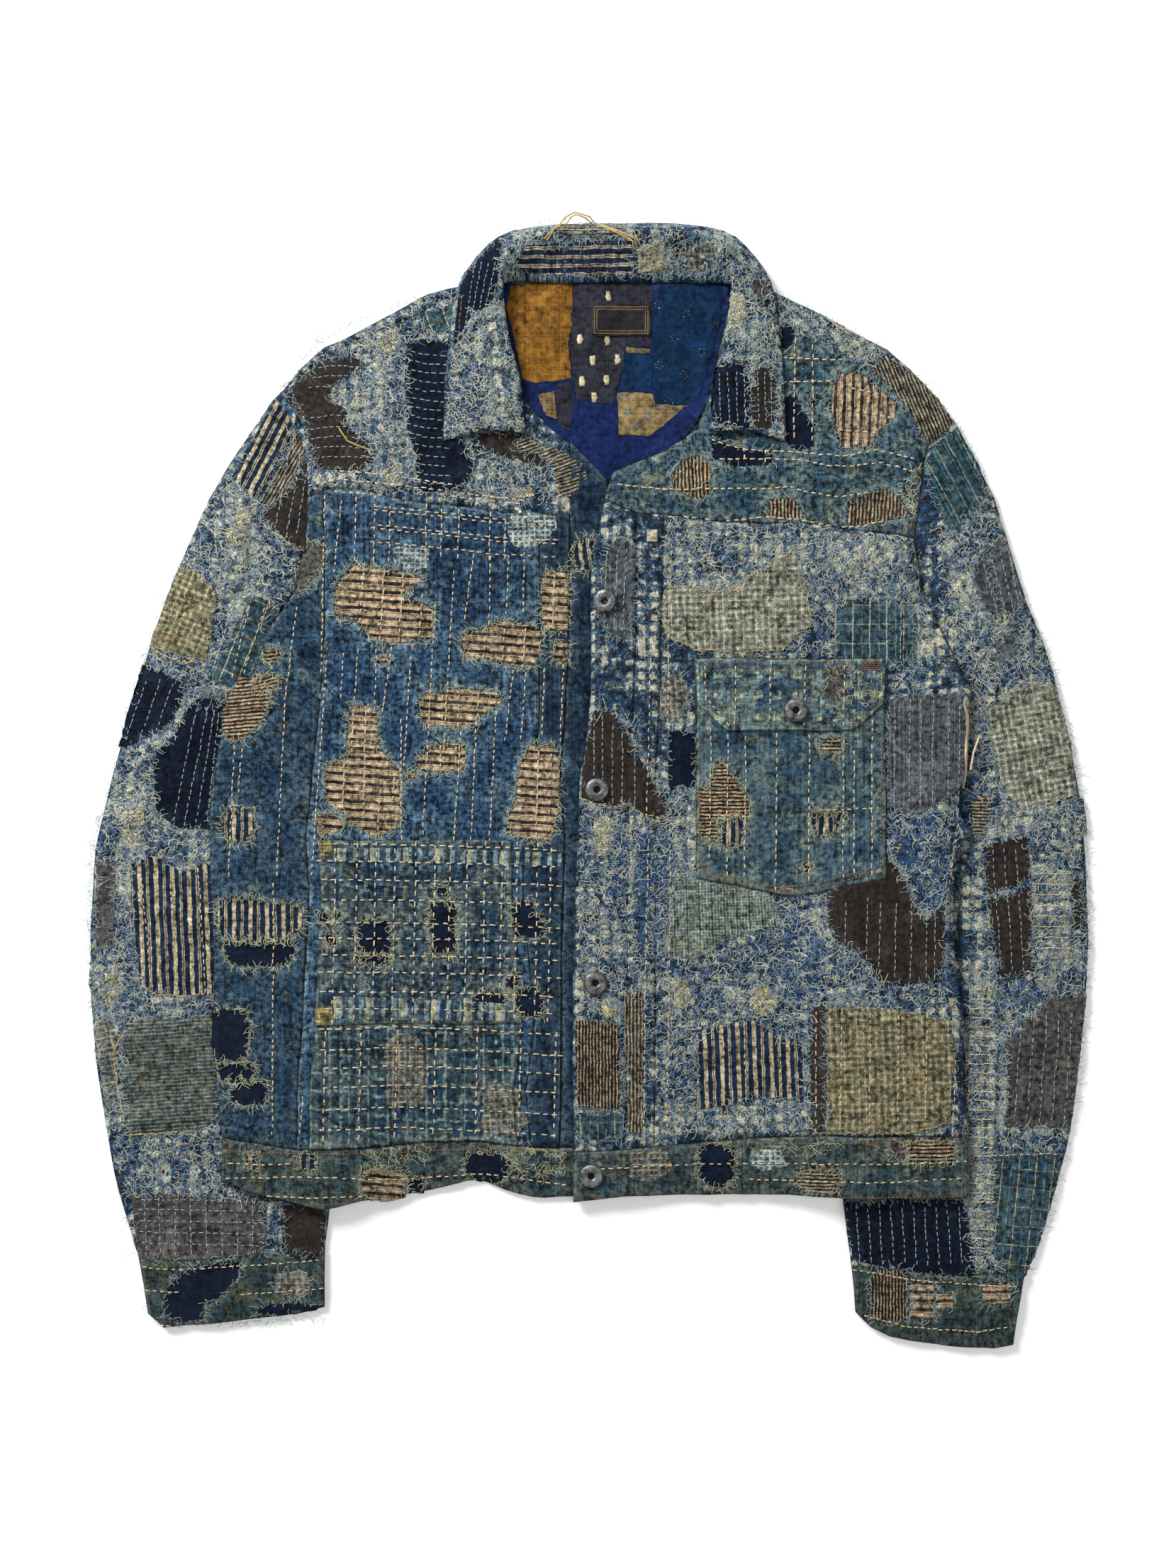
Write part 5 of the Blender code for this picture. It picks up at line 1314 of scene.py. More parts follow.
laid(sleeve, "top_sleeve_right")
laid(cuff, "cuff_right")
for node, finish in (
    ("under_sleeve_right", blue_boucle), ("under_sleeve_left", blue_boucle),
    ("under_cuff_right", cuff_denim), ("under_cuff_left", cuff_denim),
):
    laid(cloth_shell(node, finish, cell=10), node)

# The wearer's left sleeve and cuff, patched like the other one, with a strip of cream weave down
# its lower half.

sleeve_folds = [
    (246, 232, 300, 80, 16, 1.4), (262, 190, 312, 60, 10, -1), (286, 60, 345, 74, 12, 1.4),
    (262, 20, 340, 30, 12, 1), (300, -10, 345, -60, 14, 1.1), (280, -100, 352, -85, 12, 1.3),
    (282, -150, 350, -160, 12, -1), (262, -190, 345, -178, 14, 1.3), (262, -232, 340, -216, 12, 1.2),
    (240, -268, 320, -262, 9, -1),
]
TORN_CUFF = [
    "1230,1794 1254,1789 1282,1792 1284,1830 1282,1862 1256,1866 1229,1862 1227,1828",
    "1283,1809 1300,1807 1318,1810 1319,1840 1318,1861 1300,1863 1283,1861",
    "1385,1809 1406,1806 1427,1810 1428,1826 1427,1839 1404,1841 1385,1838",
]
sleeve = cloth_shell("top_sleeve_left", blue_boucle, sleeve_folds)
cuff = cloth_shell("cuff_left", cuff_denim, (), charts(" / ".join(TORN_CUFF)))
left_sleeve = ("top_sleeve_left", "cuff_left")
teal_stripe = cloth(
    "teal denim with pale threads", "teal_check", "1f3d4a 2e4f58 66807c", thread=0.55, twill=1,
    lines=((0, 9.5, 0, 0.5, "9a9c7c"), (0, 9.5, 2.6, 0.3, "5d7a80")), fade=0.02, stain=0.1,
    stained="98a06c", bump=0.4, seed=61, rub=0.6,
)
sleeve_rows = [
    (teal_stripe, 28, 0.6, "1313,636 1330,618 1351,603 1368,630 1384,661 1392,699 1376,718 1359,735 "
     "1338,756 1322,712 1305,664"),
    (pale_boucle, 20, 0.4, "1342,766 1362,748 1384,770 1396,800 1404,850 1412,900 1404,940 1380,944 "
     "1356,900 1342,830"),
    (charcoal, 18, 0.8, "1384,778 1400,764 1416,758 1432,800 1446,858 1430,864 1416,876 1399,888 "
     "1384,856 1371,819 1376,795"),
    (charcoal, 18, 0.6, "1402,906 1420,894 1436,888 1437,921 1414,938 1392,952 1396,928"),
    (light_khaki, 10, 0.9, "1391,1004 1412,984 1437,965 1464,962 1490,965 1502,1010 1514,1057 1519,1120 "
     "1480,1134 1432,1144 1412,1100 1398,1062"),
    (brown_wool, 3, 0.6, "1388,1193 1418,1184 1447,1178 1451,1206 1454,1239 1424,1252 1393,1263 "
     "1390,1228"),
    (dark_wool, 2, 0.7, "1393,1270 1424,1262 1453,1252 1455,1310 1453,1370 1434,1376 1413,1380 "
     "1400,1330"),
    (pale_boucle, 4, 0.6, "1457,1228 1484,1224 1510,1230 1512,1290 1510,1350 1484,1354 1457,1350 "
     "1456,1290"),
    (brown_wool, 0, 0.4, "1510,1240 1522,1240 1528,1244 1528,1280 1527,1310 1519,1312 1509,1308 "
     "1510,1276"),
    (grey_wool, -3, 0.8, "1447,1437 1480,1411 1508,1405 1534,1402 1528,1466 1519,1530 1512,1591 "
     "1464,1590 1417,1588 1422,1518 1417,1472"),
    (tweed, 0, 0.6, "1344,1484 1366,1482 1368,1530 1366,1579 1348,1580 1344,1530"),
    (pale_boucle, 0, 0.6, "1367,1390 1388,1387 1408,1390 1410,1450 1406,1520 1402,1590 1398,1660 "
     "1396,1730 1394,1786 1370,1790 1368,1700 1367,1600 1366,1500"),
    (teal_grid, -6, 0.7, "1401,1628 1450,1626 1499,1627 1490,1676 1477,1725 1464,1766 1447,1803 "
     "1430,1806 1412,1806 1402,1740 1398,1680"),
    (indigo, 0, 0.8, "1194,1697 1250,1692 1310,1692 1362,1693 1367,1734 1374,1770 1376,1801 1330,1798 "
     "1289,1794 1244,1786 1204,1778 1196,1744"),
    (tweed, 0, 0, TORN_CUFF[0]), (tan_stripe, 0, 0, TORN_CUFF[1]), (tan_stripe, 0, 0, TORN_CUFF[2]),
    (tan_stripe, 0, 0.3, "1320,1823 1343,1822 1345,1846 1320,1848"),
    (blue_slub, 4, 0.3, "1384,1400 1440,1392 1480,1390 1476,1408 1440,1432 1410,1440 1386,1430"),
    (blue_slub, 10, 0.3, "1424,930 1470,922 1488,950 1460,962 1430,966 1408,962"),
    (cream_block, 14, 0.8, "1400,868 1426,866 1420,884 1400,892"),
    (pale_boucle, 0, 0.3, "1530,1126 1460,1136 1400,1150 1390,1184 1446,1178 1500,1182 1536,1176"),
    (salt_stripe, 0, 0.4, "1370,1130 1392,1120 1400,1150 1388,1180 1372,1176"),
]
made = patches("left_sleeve", left_sleeve, sleeve_rows, {
    light_khaki: ("check_patch_left_sleeve",),
    grey_wool: ("grey_patch_left_sleeve",),
    dark_wool: ("dark_wool_patch_left_sleeve",),
})
levels = left_sleeve + tuple(piece.name for piece in made)

sewn(
    "left_sleeve_pale_stitches", pale_thread, 0.6,
    (levels, charts("1382,776 1408,872 / 1396,776 1420,872 / 1410,776 1432,872 / 1424,776 1440,872"),
     4.6, 3.2, 0.35),
    (levels, columns(range(1208, 1353, 16), (0, 1700), (5, 1782)), 4.4, 3, 0.35),
    (levels, columns(range(1436, 1509, 18), (5, 1432), (-6, 1584)), 5.2, 3, 0.3),
    (levels, columns((1404, 1420, 1436), (-4, 1196), (8, 1372)), 5, 3, 0.3),
)
sewn(
    "left_sleeve_cream_stitches", cream_thread, 0.75,
    (levels, level_rows(range(1232, 1350, 15), (1458, 0), (1510, 1)), 3.6, 3.4, 0.7),
    (levels, level_rows(range(1396, 1786, 13), (1368, 0), (1402, 1)), 3.8, 3.6, 0.6),
    (levels, charts("1196,1790 1290,1806 1376,1812 1440,1816 / 1196,1850 1280,1872 1380,1880 1424,1872 / "
     "1384,1000 1440,962 1490,964 / 1432,1144 1480,1134 1519,1120 / 1400,1630 1498,1628"), 4.6, 3.2,
     0.45),
)

frayed = fringes(levels, [chart(row[-1]) for row in sleeve_rows], *PATCH_FRINGES)
zone = chart(
    "1352,600 1420,740 1500,940 1536,1180 1540,1400 1500,1620 1450,1790 1200,1780 1200,1700 1340,1600 "
    "1370,1400 1380,1180 1350,960 1320,760"
)
more, curls, creams = scattered(levels, [zone], SLEEVE_SPACINGS, covered_by(sleeve_rows, OPEN_WEAVES))
loose_pieces("left_sleeve", frayed + more, curls, creams)

edges = hairs(
    chart(
        "1240,490 1303,541 1351,603 1392,690 1410,760 1445,858 1490,965 1519,1080 1536,1200 1536,1340 "
        "1534,1402 1520,1530 1499,1627 1477,1725 1447,1803"
    ),
    3.4, 1.5, 8, -1,
)
edges += hairs(chart("1440,1815 1420,1876 1290,1880 1216,1850"), 3, 2.6, 6, -1)
threads("left_sleeve_edge_hairs", pale_thread, edges, 0.34)

laid(sleeve, "top_sleeve_left")
laid(cuff, "cuff_left")

# The yokes, the collar and the pieced lining at the back of the neck, with a bare label on it.
# Yokes and collar are looped weave and denim with sewn-on scraps; the lining is smooth cloth.

yoke_denim = cloth(
    "greenish blue denim", "boucle", "213a48 304e5e 7f9186", lines=((0, 13, 0, 3, "284660"),), fade=0.06,
    stain=0.12, stained="9c9a6c", seed=63, rub=0.8, slub=0.9,
)
royal_lining = cloth(
    "royal blue lining", "lining", "0e1c45 132657 203769", thread=0.4, fade=-0.2, bump=0.2, sheen=0.05,
    seed=65, rub=0.05, slub=0,
)
ochre_lining = cloth(
    "ochre lining", "lining", "775019 835b24 906b36", thread=0.4, fade=-0.1, stain=0.06, stained="563c16",
    bump=0.2, sheen=0.05, seed=67, rub=0.05, slub=0,
)
charcoal_lining = cloth(
    "charcoal lining", "lining", "25252f 30303a 44444c", fade=-0.2, bump=0.3, sheen=0.05, seed=69,
    rub=0.1, slub=0.1,
)
flower_lining = cloth(
    "blue flowered lining", "lining", "07213e 0c2b4b 1a3c58", thread=0.4, fade=-0.15, stain=0.03,
    stained="071c37", bump=0.2, sheen=0.05, seed=71, rub=0.1, slub=0,
)
khaki_lining = cloth(
    "khaki lining", "lining", "796542 86734c 93825e", thread=0.4, fade=-0.1, stain=0.05, stained="6c5c37",
    bump=0.2, sheen=0.05, seed=73, rub=0.05, slub=0,
)
print_cream = cloth(
    "cream print", "lining", "c6b893 b5a784 d6ccaa", thread=0.4, fade=-0.1, bump=0.2, seed=75, rub=0.1,
    slub=0,
)
print_blue = cloth(
    "blue green print", "lining", "2c5c80 33688c 4a7c96", thread=0.4, fade=-0.1, bump=0.2, seed=77,
    rub=0.1, slub=0,
)
collar_stripe = cloth(
    "navy and cream collar stripe", "stripe_cloth", "1a2840 22324a 4a5a68",
    lines=((1, 5.6, 0, 2.2, "d3c0a2"), (1, 5.6, 0, 0.5, "2c3648")), fade=-0.1, stain=0.02, bump=0.4,
    seed=79, rub=0.3,
)
label_satin = cloth(
    "black satin label", "label", "15151a 1d1d22 2a2a30", thread=0.3, fade=-0.3, bump=0.2, sheen=0.1,
    roughness=0.6, seed=81, rub=0, slub=0,
)

TORN_YOKE = [
    "1206,524 1223,532 1244,550 1269,573 1261,591 1238,606 1229,629 1188,632 1182,609 1173,579 1175,544 "
        "1185,527",
    "1103,458 1118,456 1122,471 1118,488 1103,496 1099,477",
    "1096,579 1106,562 1115,556 1126,559 1132,579 1144,591 1150,603 1150,629 1126,635 1115,629 1096,606",
    "1144,556 1156,557 1156,571 1144,576", "963,648 990,640 1003,659 1003,697 984,705 950,690 948,669",
    "1085,706 1097,701 1118,703 1129,714 1132,733 1082,731",
    "1197,706 1232,694 1250,688 1267,700 1282,720 1276,730 1238,738 1197,742 1194,726",
]
yoke_folds = [
    (165, 232, 250, 222, 8, 1.2), (180, 222, 205, 195, 8, -1), (110, 225, 180, 215, 7, 0.9),
    (-240, 262, -180, 292, 14, 1.2), (-200, 225, -170, 260, 12, 1), (-175, 215, -20, 212, 7, 1),
    (-120, 245, -100, 300, 12, 0.9), (130, 330, 210, 290, 12, 1),
]
yoke_left = cloth_shell("yoke_left", yoke_denim, yoke_folds, charts(" / ".join(TORN_YOKE)))
yoke_right = cloth_shell("yoke_right", blue_boucle, yoke_folds)
yokes = ("yoke_left", "yoke_right", "front_panel_right", "front_panel_left", "back_yoke_left")
yokes += ("back_yoke_right",)
left_rows = [
    (tan_stripe, 88, 0, TORN_YOKE[0]), (navy_twill, 0, 0, TORN_YOKE[1]), (navy_twill, 0, 0, TORN_YOKE[2]),
    (navy_twill, 0, 0, TORN_YOKE[3]), (pepper_check, 92, 0, TORN_YOKE[4]),
    (pepper_check, 90, 0, TORN_YOKE[5]), (pepper_check, 86, 0, TORN_YOKE[6]),
    (pale_boucle, 30, 0.5, "1096,422 1144,436 1212,472 1242,492 1228,516 1213,517 1185,494 1144,471 "
     "1115,456 1098,452"),
    (hickory, 52, 0.8, "1160,446 1180,452 1202,468 1196,474 1174,466"),
    (salt_stripe, 112, 0.8, "1250,501 1290,527 1325,562 1349,598 1330,615 1310,627 1285,585 1256,544 "
     "1228,521"),
    (indigo, 0, 0.3, "1003,618 1050,632 1090,640 1088,656 1040,658 1006,646"),
]
left_pieces = patches("left_yoke", yokes, left_rows)
right_rows = [
    (brown_wool, -20, 0.9, "439,521 464,506 495,503 515,512 497,530 467,547 464,565 485,575 492,606 "
     "518,621 525,652 507,662 451,662 436,632 431,593 410,547"),
    (indigo, 0, 0.8, "573,481 600,478 632,481 634,540 640,600 662,640 668,662 655,690 620,694 592,693 "
     "585,640 573,600 572,540"),
    (pale_boucle, 0, 0.5, "500,560 540,520 568,496 572,560 566,620 560,680 530,684 528,640 500,610 "
     "486,574"),
    (cream_block, 0, 0.7, "536,470 556,464 566,480 560,500 540,498"),
    (cream_block, 0, 0.7, "540,662 566,658 570,684 546,690"),
    (teal_grid, 20, 0.4, "600,440 640,428 642,460 612,470 588,462"),
    (brown_wool, 0, 0.3, "674,612 730,606 760,622 776,646 772,660 736,652 700,640 672,630"),
    (salt_stripe, 20, 0.6, "727,613 760,624 800,640 846,667 838,690 820,700 786,700 780,660 760,640 "
     "731,636"),
    (cream_block, 0, 0.6, "716,690 748,686 754,700 720,704"),
]
right_pieces = patches("right_yoke", yokes, right_rows, {
    brown_wool: ("wool_patch_right_shoulder",),
    indigo: ("indigo_patch_right_yoke",),
})
levels = yokes + tuple(piece.name for piece in left_pieces + right_pieces)

collar_weave = boucle("looped weave of the collar", "16314f 2c5887 8faebe caceb2", 0.5, 60, 0.45)
collar_folds = [
    (-90, 380, -60, 400, 10, -1), (60, 385, 90, 395, 10, 0.9), (-85, 320, -60, 270, 10, 0.8),
    (95, 330, 110, 260, 10, 0.8), (130, 260, 90, 300, 8, -0.8),
]
collar = cloth_shell("collar", collar_weave, collar_folds, cell=3.4)
collar_rows = [
    (collar_stripe, 1, 0.3, "742,352 800,348 860,345 890,344 892,366 892,388 860,388 800,388 736,386 "
     "730,376"),
    (salt_stripe, 0, 0.4, "786,324 830,323 880,325 890,336 840,339 788,340"),
    (cream_block, 0, 0.7, "900,356 934,344 937,360 934,382 900,386"),
    (worn_check, 0, 0.4, "967,349 1004,352 1012,382 968,386"),
    (navy_twill, -10, 0.5, "702,336 708,348 704,376 702,410 690,437 668,443 656,462 646,486 640,486 "
     "644,440 650,404 662,380 688,356"),
    (pale_boucle, 6, 0.4, "688,448 706,446 712,480 716,530 722,580 704,584 694,540 688,490"),
    (blue_slub, 10, 0.4, "648,520 680,512 686,560 680,600 636,612 630,590 640,550"),
    (indigo, 0, 0.6, "1008,520 1027,514 1047,518 1057,544 1059,585 1055,607 1035,602 1004,595 1002,556"),
    (brown_wool, 0, 0.6, "1065,522 1086,519 1094,534 1093,568 1091,601 1077,610 1062,600 1057,562"),
    (grey_wool, 10, 0.5, "1060,396 1076,398 1082,420 1068,424 1058,410"),
    (cream_block, 10, 0.6, "1030,420 1048,418 1052,446 1040,470 1028,460"),
]
collar_pieces = patches("collar", ("collar",), collar_rows)
collar_all = ("collar",) + tuple(piece.name for piece in collar_pieces)

lining = cloth_shell("neck_lining", royal_lining, cell=4)
lining_rows = [
    (ochre_lining, 0, 0.3, "722,394 760,393 807,394 809,448 801,480 806,532 780,536 752,539 736,532 "
     "724,470 714,432"),
    (charcoal_lining, 0, 0.3, "809,394 860,394 920,395 920,440 919,488 882,486 879,516 870,548 864,569 "
     "837,567 814,562 808,532 803,482"),
    (flower_lining, 0, 0.3, "922,415 946,402 1020,396 1018,448 1002,506 986,560 972,569 922,569 921,530 "
     "920,470"),
    (flower_lining, 8, 0.3, "882,497 920,499 920,552 874,550"),
    (khaki_lining, 0, 0.4, "882,488 918,490 919,498 884,497"),
    (khaki_lining, 0, 0.35, "871,552 920,554 926,570 968,571 946,591 917,614 873,612"),
    (khaki_lining, 0, 0.35, "758,556 782,550 785,590 770,585"),
    (charcoal_lining, 0, 0.3, "786,540 804,536 811,562 804,606 788,602 784,566"),
]
lining_pieces = patches("neck", ("neck_lining",), lining_rows)
lining_all = ("neck_lining",) + tuple(piece.name for piece in lining_pieces)


def ring(x, y, petals, wide, size):
    """Outlines of a small printed flower: petals on a ring about a place, in the chart's steps."""
    out = []
    corners = [k * 1.0472 for k in range(6)]
    for petal in range(petals):
        turn = 2 * math.pi * petal / petals + 0.3
        px, py = x + wide * math.cos(turn), y + wide * math.sin(turn)
        points = [(px + size * math.cos(corner), py + size * math.sin(corner)) for corner in corners]
        out.append(" ".join("%.2f,%.2f" % point for point in points))
    return out


def around(x, y, *offsets):
    return " ".join("%s,%s" % (x + across, y + down) for across, down in offsets)


printed = []
for x, y in (
    (858, 416), (818, 477), (857, 479), (836, 507), (871, 506), (821, 537), (856, 535), (838, 560),
):
    leaf = around(x, y, (-4, -7), (3, -8), (5, 0), (4, 7), (-3, 8), (-5, 1))
    printed.append((print_cream, 0, 0.3, leaf))
for x, y in (
    (929, 428), (968, 442), (1009, 458), (952, 476), (989, 496), (930, 514), (965, 528), (944, 566),
):
    printed += [(print_cream, 0, 0.25, row) for row in ring(x, y, 6, 5, 1.3)]
for x, y in ((885, 580), (914, 586), (898, 600), (930, 574), (952, 580), (882, 560)):
    printed += [(print_blue, 0, 0.25, row) for row in ring(x, y, 5, 4.6, 2.6)]
print_pieces = patches("neck_print", lining_all, printed)

label = cloth_shell("neck_label", label_satin, cell=3, dip=0.3)
gold_thread = thread("gold thread", "label", "a5853c")
low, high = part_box("neck_label")
borders = []
for inset in (1.6, 3.4):
    x0, y0 = low.x * 1000 + inset, low.y * 1000 + inset
    x1, y1 = high.x * 1000 - inset, high.y * 1000 - inset
    borders.append([(x0, y0), (x1, y0), (x1, y1), (x0, y1), (x0, y0)])
sewn("neck_label_border", gold_thread, 0.35, (("neck_label",), borders, 1.6, 1.9, 0.15, 0.05))

rust_thread = thread("rust thread", "boucle", "a8713a")
leaf_lines = [[spot_at(x, 1125 - x), spot_at(x + 16, 372)] for x in (655, 664, 674, 684, 694)]
sewn(
    "neck_pale_stitches", pale_thread, 0.6,
    (levels, level_rows(range(494, 690, 13), (576, 0), (600, 6), (632, 8)), 5, 3.2, 0.35),
    (levels, level_rows((520, 534, 548, 590, 606, 620, 634, 648), (436, 0), (470, -4), (520, -2)), 4.6,
     2.8, 0.35),
    (collar_all, leaf_lines, 3.6, 2.4, 0.3),
    (collar_all, columns((1014, 1026, 1038, 1049, 1068, 1078, 1087), (0, 524), (2, 598)), 3.6, 2.4, 0.3),
)
sewn(
    "yoke_cream_stitches", cream_thread, 0.95,
    (levels, charts("1104,504 1190,508 / 1104,538 1175,538 / 1003,620 1050,634 1126,638 1191,644 "
     "1238,634 1288,646 / 1018,647 1091,647 1126,648 1170,657 1209,657 1244,653 1291,666 / 980,689 "
     "1088,689 1112,686 1144,695 1185,701 1232,694 / 980,730 1021,736 1076,729 1132,733 1179,743 "
     "1211,743 1244,735 / 1122,470 1120,620 / 1147,480 1146,620 / 1050,628 1050,650 / 1080,630 1080,650 "
     "/ 1190,575 1262,590 / 1186,606 1236,610 / 1200,546 1244,556 / 402,690 480,676 560,684 640,694 "
     "740,706 / 482,664 560,672 640,684 / 452,664 456,700 / 640,700 740,712 / 870,684 940,690 980,690 / "
     "880,724 980,730"), 5.4, 3.4, 0.5),
)
sewn(
    "collar_rust_stitches", rust_thread, 0.6,
    (collar_all, charts("632,590 690,602 736,606 / 1002,602 1060,616 1104,626 / 640,580 646,490 652,420 "
     "/ 1106,622 1100,560"), 4, 2.8, 0.4),
    (levels, charts("403,545 418,565 432,588 / 398,552 412,572 428,596"), 3.4, 2.6, 0.4),
)

yoke_rows = left_rows + right_rows
frayed = fringes(levels, [chart(row[-1]) for row in yoke_rows], *PATCH_FRINGES)
neck_frays = fringes(collar_all, [chart(row[-1]) for row in collar_rows], (2.4, 4.4))
zone = chart("440,505 560,440 640,405 632,600 740,612 850,672 850,700 700,710 480,690 430,660")
more, curls, creams = scattered(levels, [zone], (12, 24, 18), covered_by(yoke_rows, OPEN_WEAVES))
frayed += more
zone = chart("1096,422 1212,472 1242,492 1228,516 1185,494 1115,456")
frayed += loops(levels, zone, 8, 6, 1.1)
creams += loops(levels, zone, 14, 6, 1.1)
zone = chart("1270,690 1300,640 1320,700 1330,760 1290,760")
creams += loops(levels, zone, 8, 6, 1.1)
loose_pieces("yoke", frayed, curls, creams)
neck_creams = []
covered = covered_by(collar_rows, (blue_slub, cream_block))
for zone in charts(
    "640,480 700,340 730,345 725,400 718,450 740,560 800,610 850,670 740,612 626,622 / 893,330 1022,334 "
    "1093,415 1108,630 1000,600 1010,500 1024,400 1000,390 893,390 / 700,330 893,320 893,345 740,350"
):
    neck_frays += loops(collar_all, zone, 9, 6, 1.1, covered)
    neck_creams += loops(collar_all, zone, 13, 6, 1, covered)
threads("collar_frays", pale_thread, neck_frays, 0.36)
threads("collar_cream_curls", loop_thread, neck_creams, 0.45)

edges = hairs(chart("630,410 560,430 500,452 452,480"), 6, 1.6, 6, 1)
edges += hairs(chart("1093,415 1140,432 1200,462 1244,492"), 6, 1.6, 6, -1)
edges += hairs(chart("706,330 786,317 891,325 1001,325 1060,370 1093,415"), 24, 1.8, 5, -1)
edges += hairs(chart("706,330 673,369 646,401"), 20, 1.8, 5, 1)
threads("neck_edge_hairs", pale_thread, edges, 0.34)

hanging = []
for line in charts(
    "769,344 790,318 811,307 832,313 858,326 895,343 898,360 / 772,346 786,324 812,310 834,317 862,331 "
    "892,346 894,362 / 478,604 490,622 503,628 520,634 528,650"
):
    unused = max(1, round(math.dist(line[0], line[-1]) / 4))
    hanging.append(lying(levels + collar_all, ragged(line, 4, 0.2)[:-unused], 0.0255, 0.0011))
threads("collar_loose_loop", straw_thread, hanging, 1.1)

laid(yoke_left, "yoke_left")
laid(yoke_right, "yoke_right")
laid(collar, "collar")
laid(lining, "neck_lining")
laid(label, "neck_label")

# The chest pocket and its flap: faded denim sewn to the left front with double seams in rust
# thread, torn through to tweed and stripe.

pocket_denim = cloth(
    "pocket denim", "faded_denim", "233e52 365464 869787", twill=0.5, fade=0.08, stain=0.1,
    stained="9a9467", bump=0.45, seed=91, rub=0.8,
)
flap_denim = cloth(
    "flap denim", "faded_denim", "1f3853 2f536d 97aa92", twill=0.5, fade=0.12, stain=0.08,
    stained="b4ad6f", bump=0.45, seed=97, rub=0.8, blocks=((14, 15, 6, 5.5, "adbc99"),),
)
TORN_POCKET = [
    "1015,1074 1025,1081 1035,1096 1044,1110 1056,1128 1058,1143 1055,1151 1013,1153 1012,1190 986,1179 "
        "985,1113 1000,1110 1006,1087",
    "1014,1155 1054,1155 1053,1166 1045,1191 1029,1196 1014,1193",
    "1145,1148 1188,1147 1188,1155 1181,1169 1164,1181 1149,1178 1144,1160",
    "1132,1219 1144,1217 1144,1228 1136,1232 1132,1228",
    "1155,1042 1186,1040 1187,1057 1176,1064 1161,1062",
]
pocket_folds = [
    (80, -10, 200, -14, 8, 0.8), (76, -65, 205, -62, 5, 0.7), (120, 30, 130, -50, 10, 0.7),
    (170, 20, 180, -40, 10, -0.7),
]
torn = charts(" / ".join(TORN_POCKET))
pocket = cloth_shell("chest_pocket", pocket_denim, pocket_folds, torn, 3.8)
flap = cloth_shell("pocket_flap", flap_denim, [(90, 72, 200, 70, 6, 0.7)], cell=3.4)
pocket_rows = [
    (pepper_check, 0, 0, TORN_POCKET[0]), (hickory, 0, 0, TORN_POCKET[1]),
    (hickory, -3, 0, TORN_POCKET[2]), (hickory, 0, 0, TORN_POCKET[3]),
    (pepper_check, 0, 0, TORN_POCKET[4]),
]
pocket_pieces = patches("pocket", ("chest_pocket",), pocket_rows)
flap_rows = [(grey_wool, 4, 0.4, "1164,944 1190,943 1191,978 1174,995 1164,981")]
flap_pieces = patches("flap", ("pocket_flap",), flap_rows)
levels = ("chest_pocket", "pocket_flap") + tuple(piece.name for piece in pocket_pieces + flap_pieces)

sewn(
    "pocket_cream_stitches", cream_thread, 0.85,
    (levels, charts("1003,1030 1001,1215 / 1027,1036 1025,1236 / 1052,1036 1050,1240 / 1096,1036 "
     "1094,1255 / 1142,1036 1140,1245 / 1190,1036 1188,1236 / 1205,1060 1203,1230 / 1230,1000 1228,1232 "
     "/ 1038,932 1036,1025 / 1087,932 1085,1022 / 1136,932 1134,1022 / 1191,932 1189,1025"), 5.6, 3.2,
     0.45),
    (levels, charts("994,940 996,985 1032,1028 / 996,1150 1060,1152 / 1150,1143 1236,1140"), 5, 3,
     0.45),
)
sewn(
    "pocket_rust_stitches", rust_thread, 0.5,
    (levels, charts("990,935 1244,932 / 990,947 1244,945 / 1000,978 1030,1010 1208,1012 1240,978 / "
     "996,992 1030,1022 1210,1024 1246,990 / 986,1232 1040,1244 1098,1259 1150,1252 1240,1229 / 988,1226 "
     "1040,1238 1098,1252 1150,1246 1238,1222 / 987,1040 986,1225 / 1243,1040 1240,1222"), 3, 2,
     0.3, 0.1),
    (levels, level_rows(range(933, 948, 3), (1214, 0), (1240, 0)), 2.8, 2.6, 0.6, 0.1),
    (levels, level_rows(range(1252, 1264, 3), (1096, 0), (1122, -2)), 2.8, 2.4, 0.6, 0.1),
)
HOLE_FRINGES = ((1.8, 4.2), (3.4, 3.2))
frayed = fringes(levels, torn, *HOLE_FRINGES)
straws = []
for zone in charts("1160,938 1196,938 1200,1000 1160,1000 / 1150,1136 1196,1136 1196,1150 1150,1150"):
    straws += loops(levels, zone, 17, 6, 1)
for zone in charts("1196,950 1244,950 1240,1000 1196,1004 / 1085,1250 1130,1240 1130,1262 1090,1264"):
    straws += loops(levels, zone, 18, 7, 1)
threads("pocket_frays", fray_thread, frayed, 0.4)
threads("pocket_straw_frays", fray_thread, straws, 0.45)

laid(pocket, "chest_pocket")
laid(flap, "pocket_flap")

# The waistband of both fronts: ribbed denim cut in one strip a side and sewn round the hem in
# double rust rows, faded and torn through to navy, stripes and tweed.

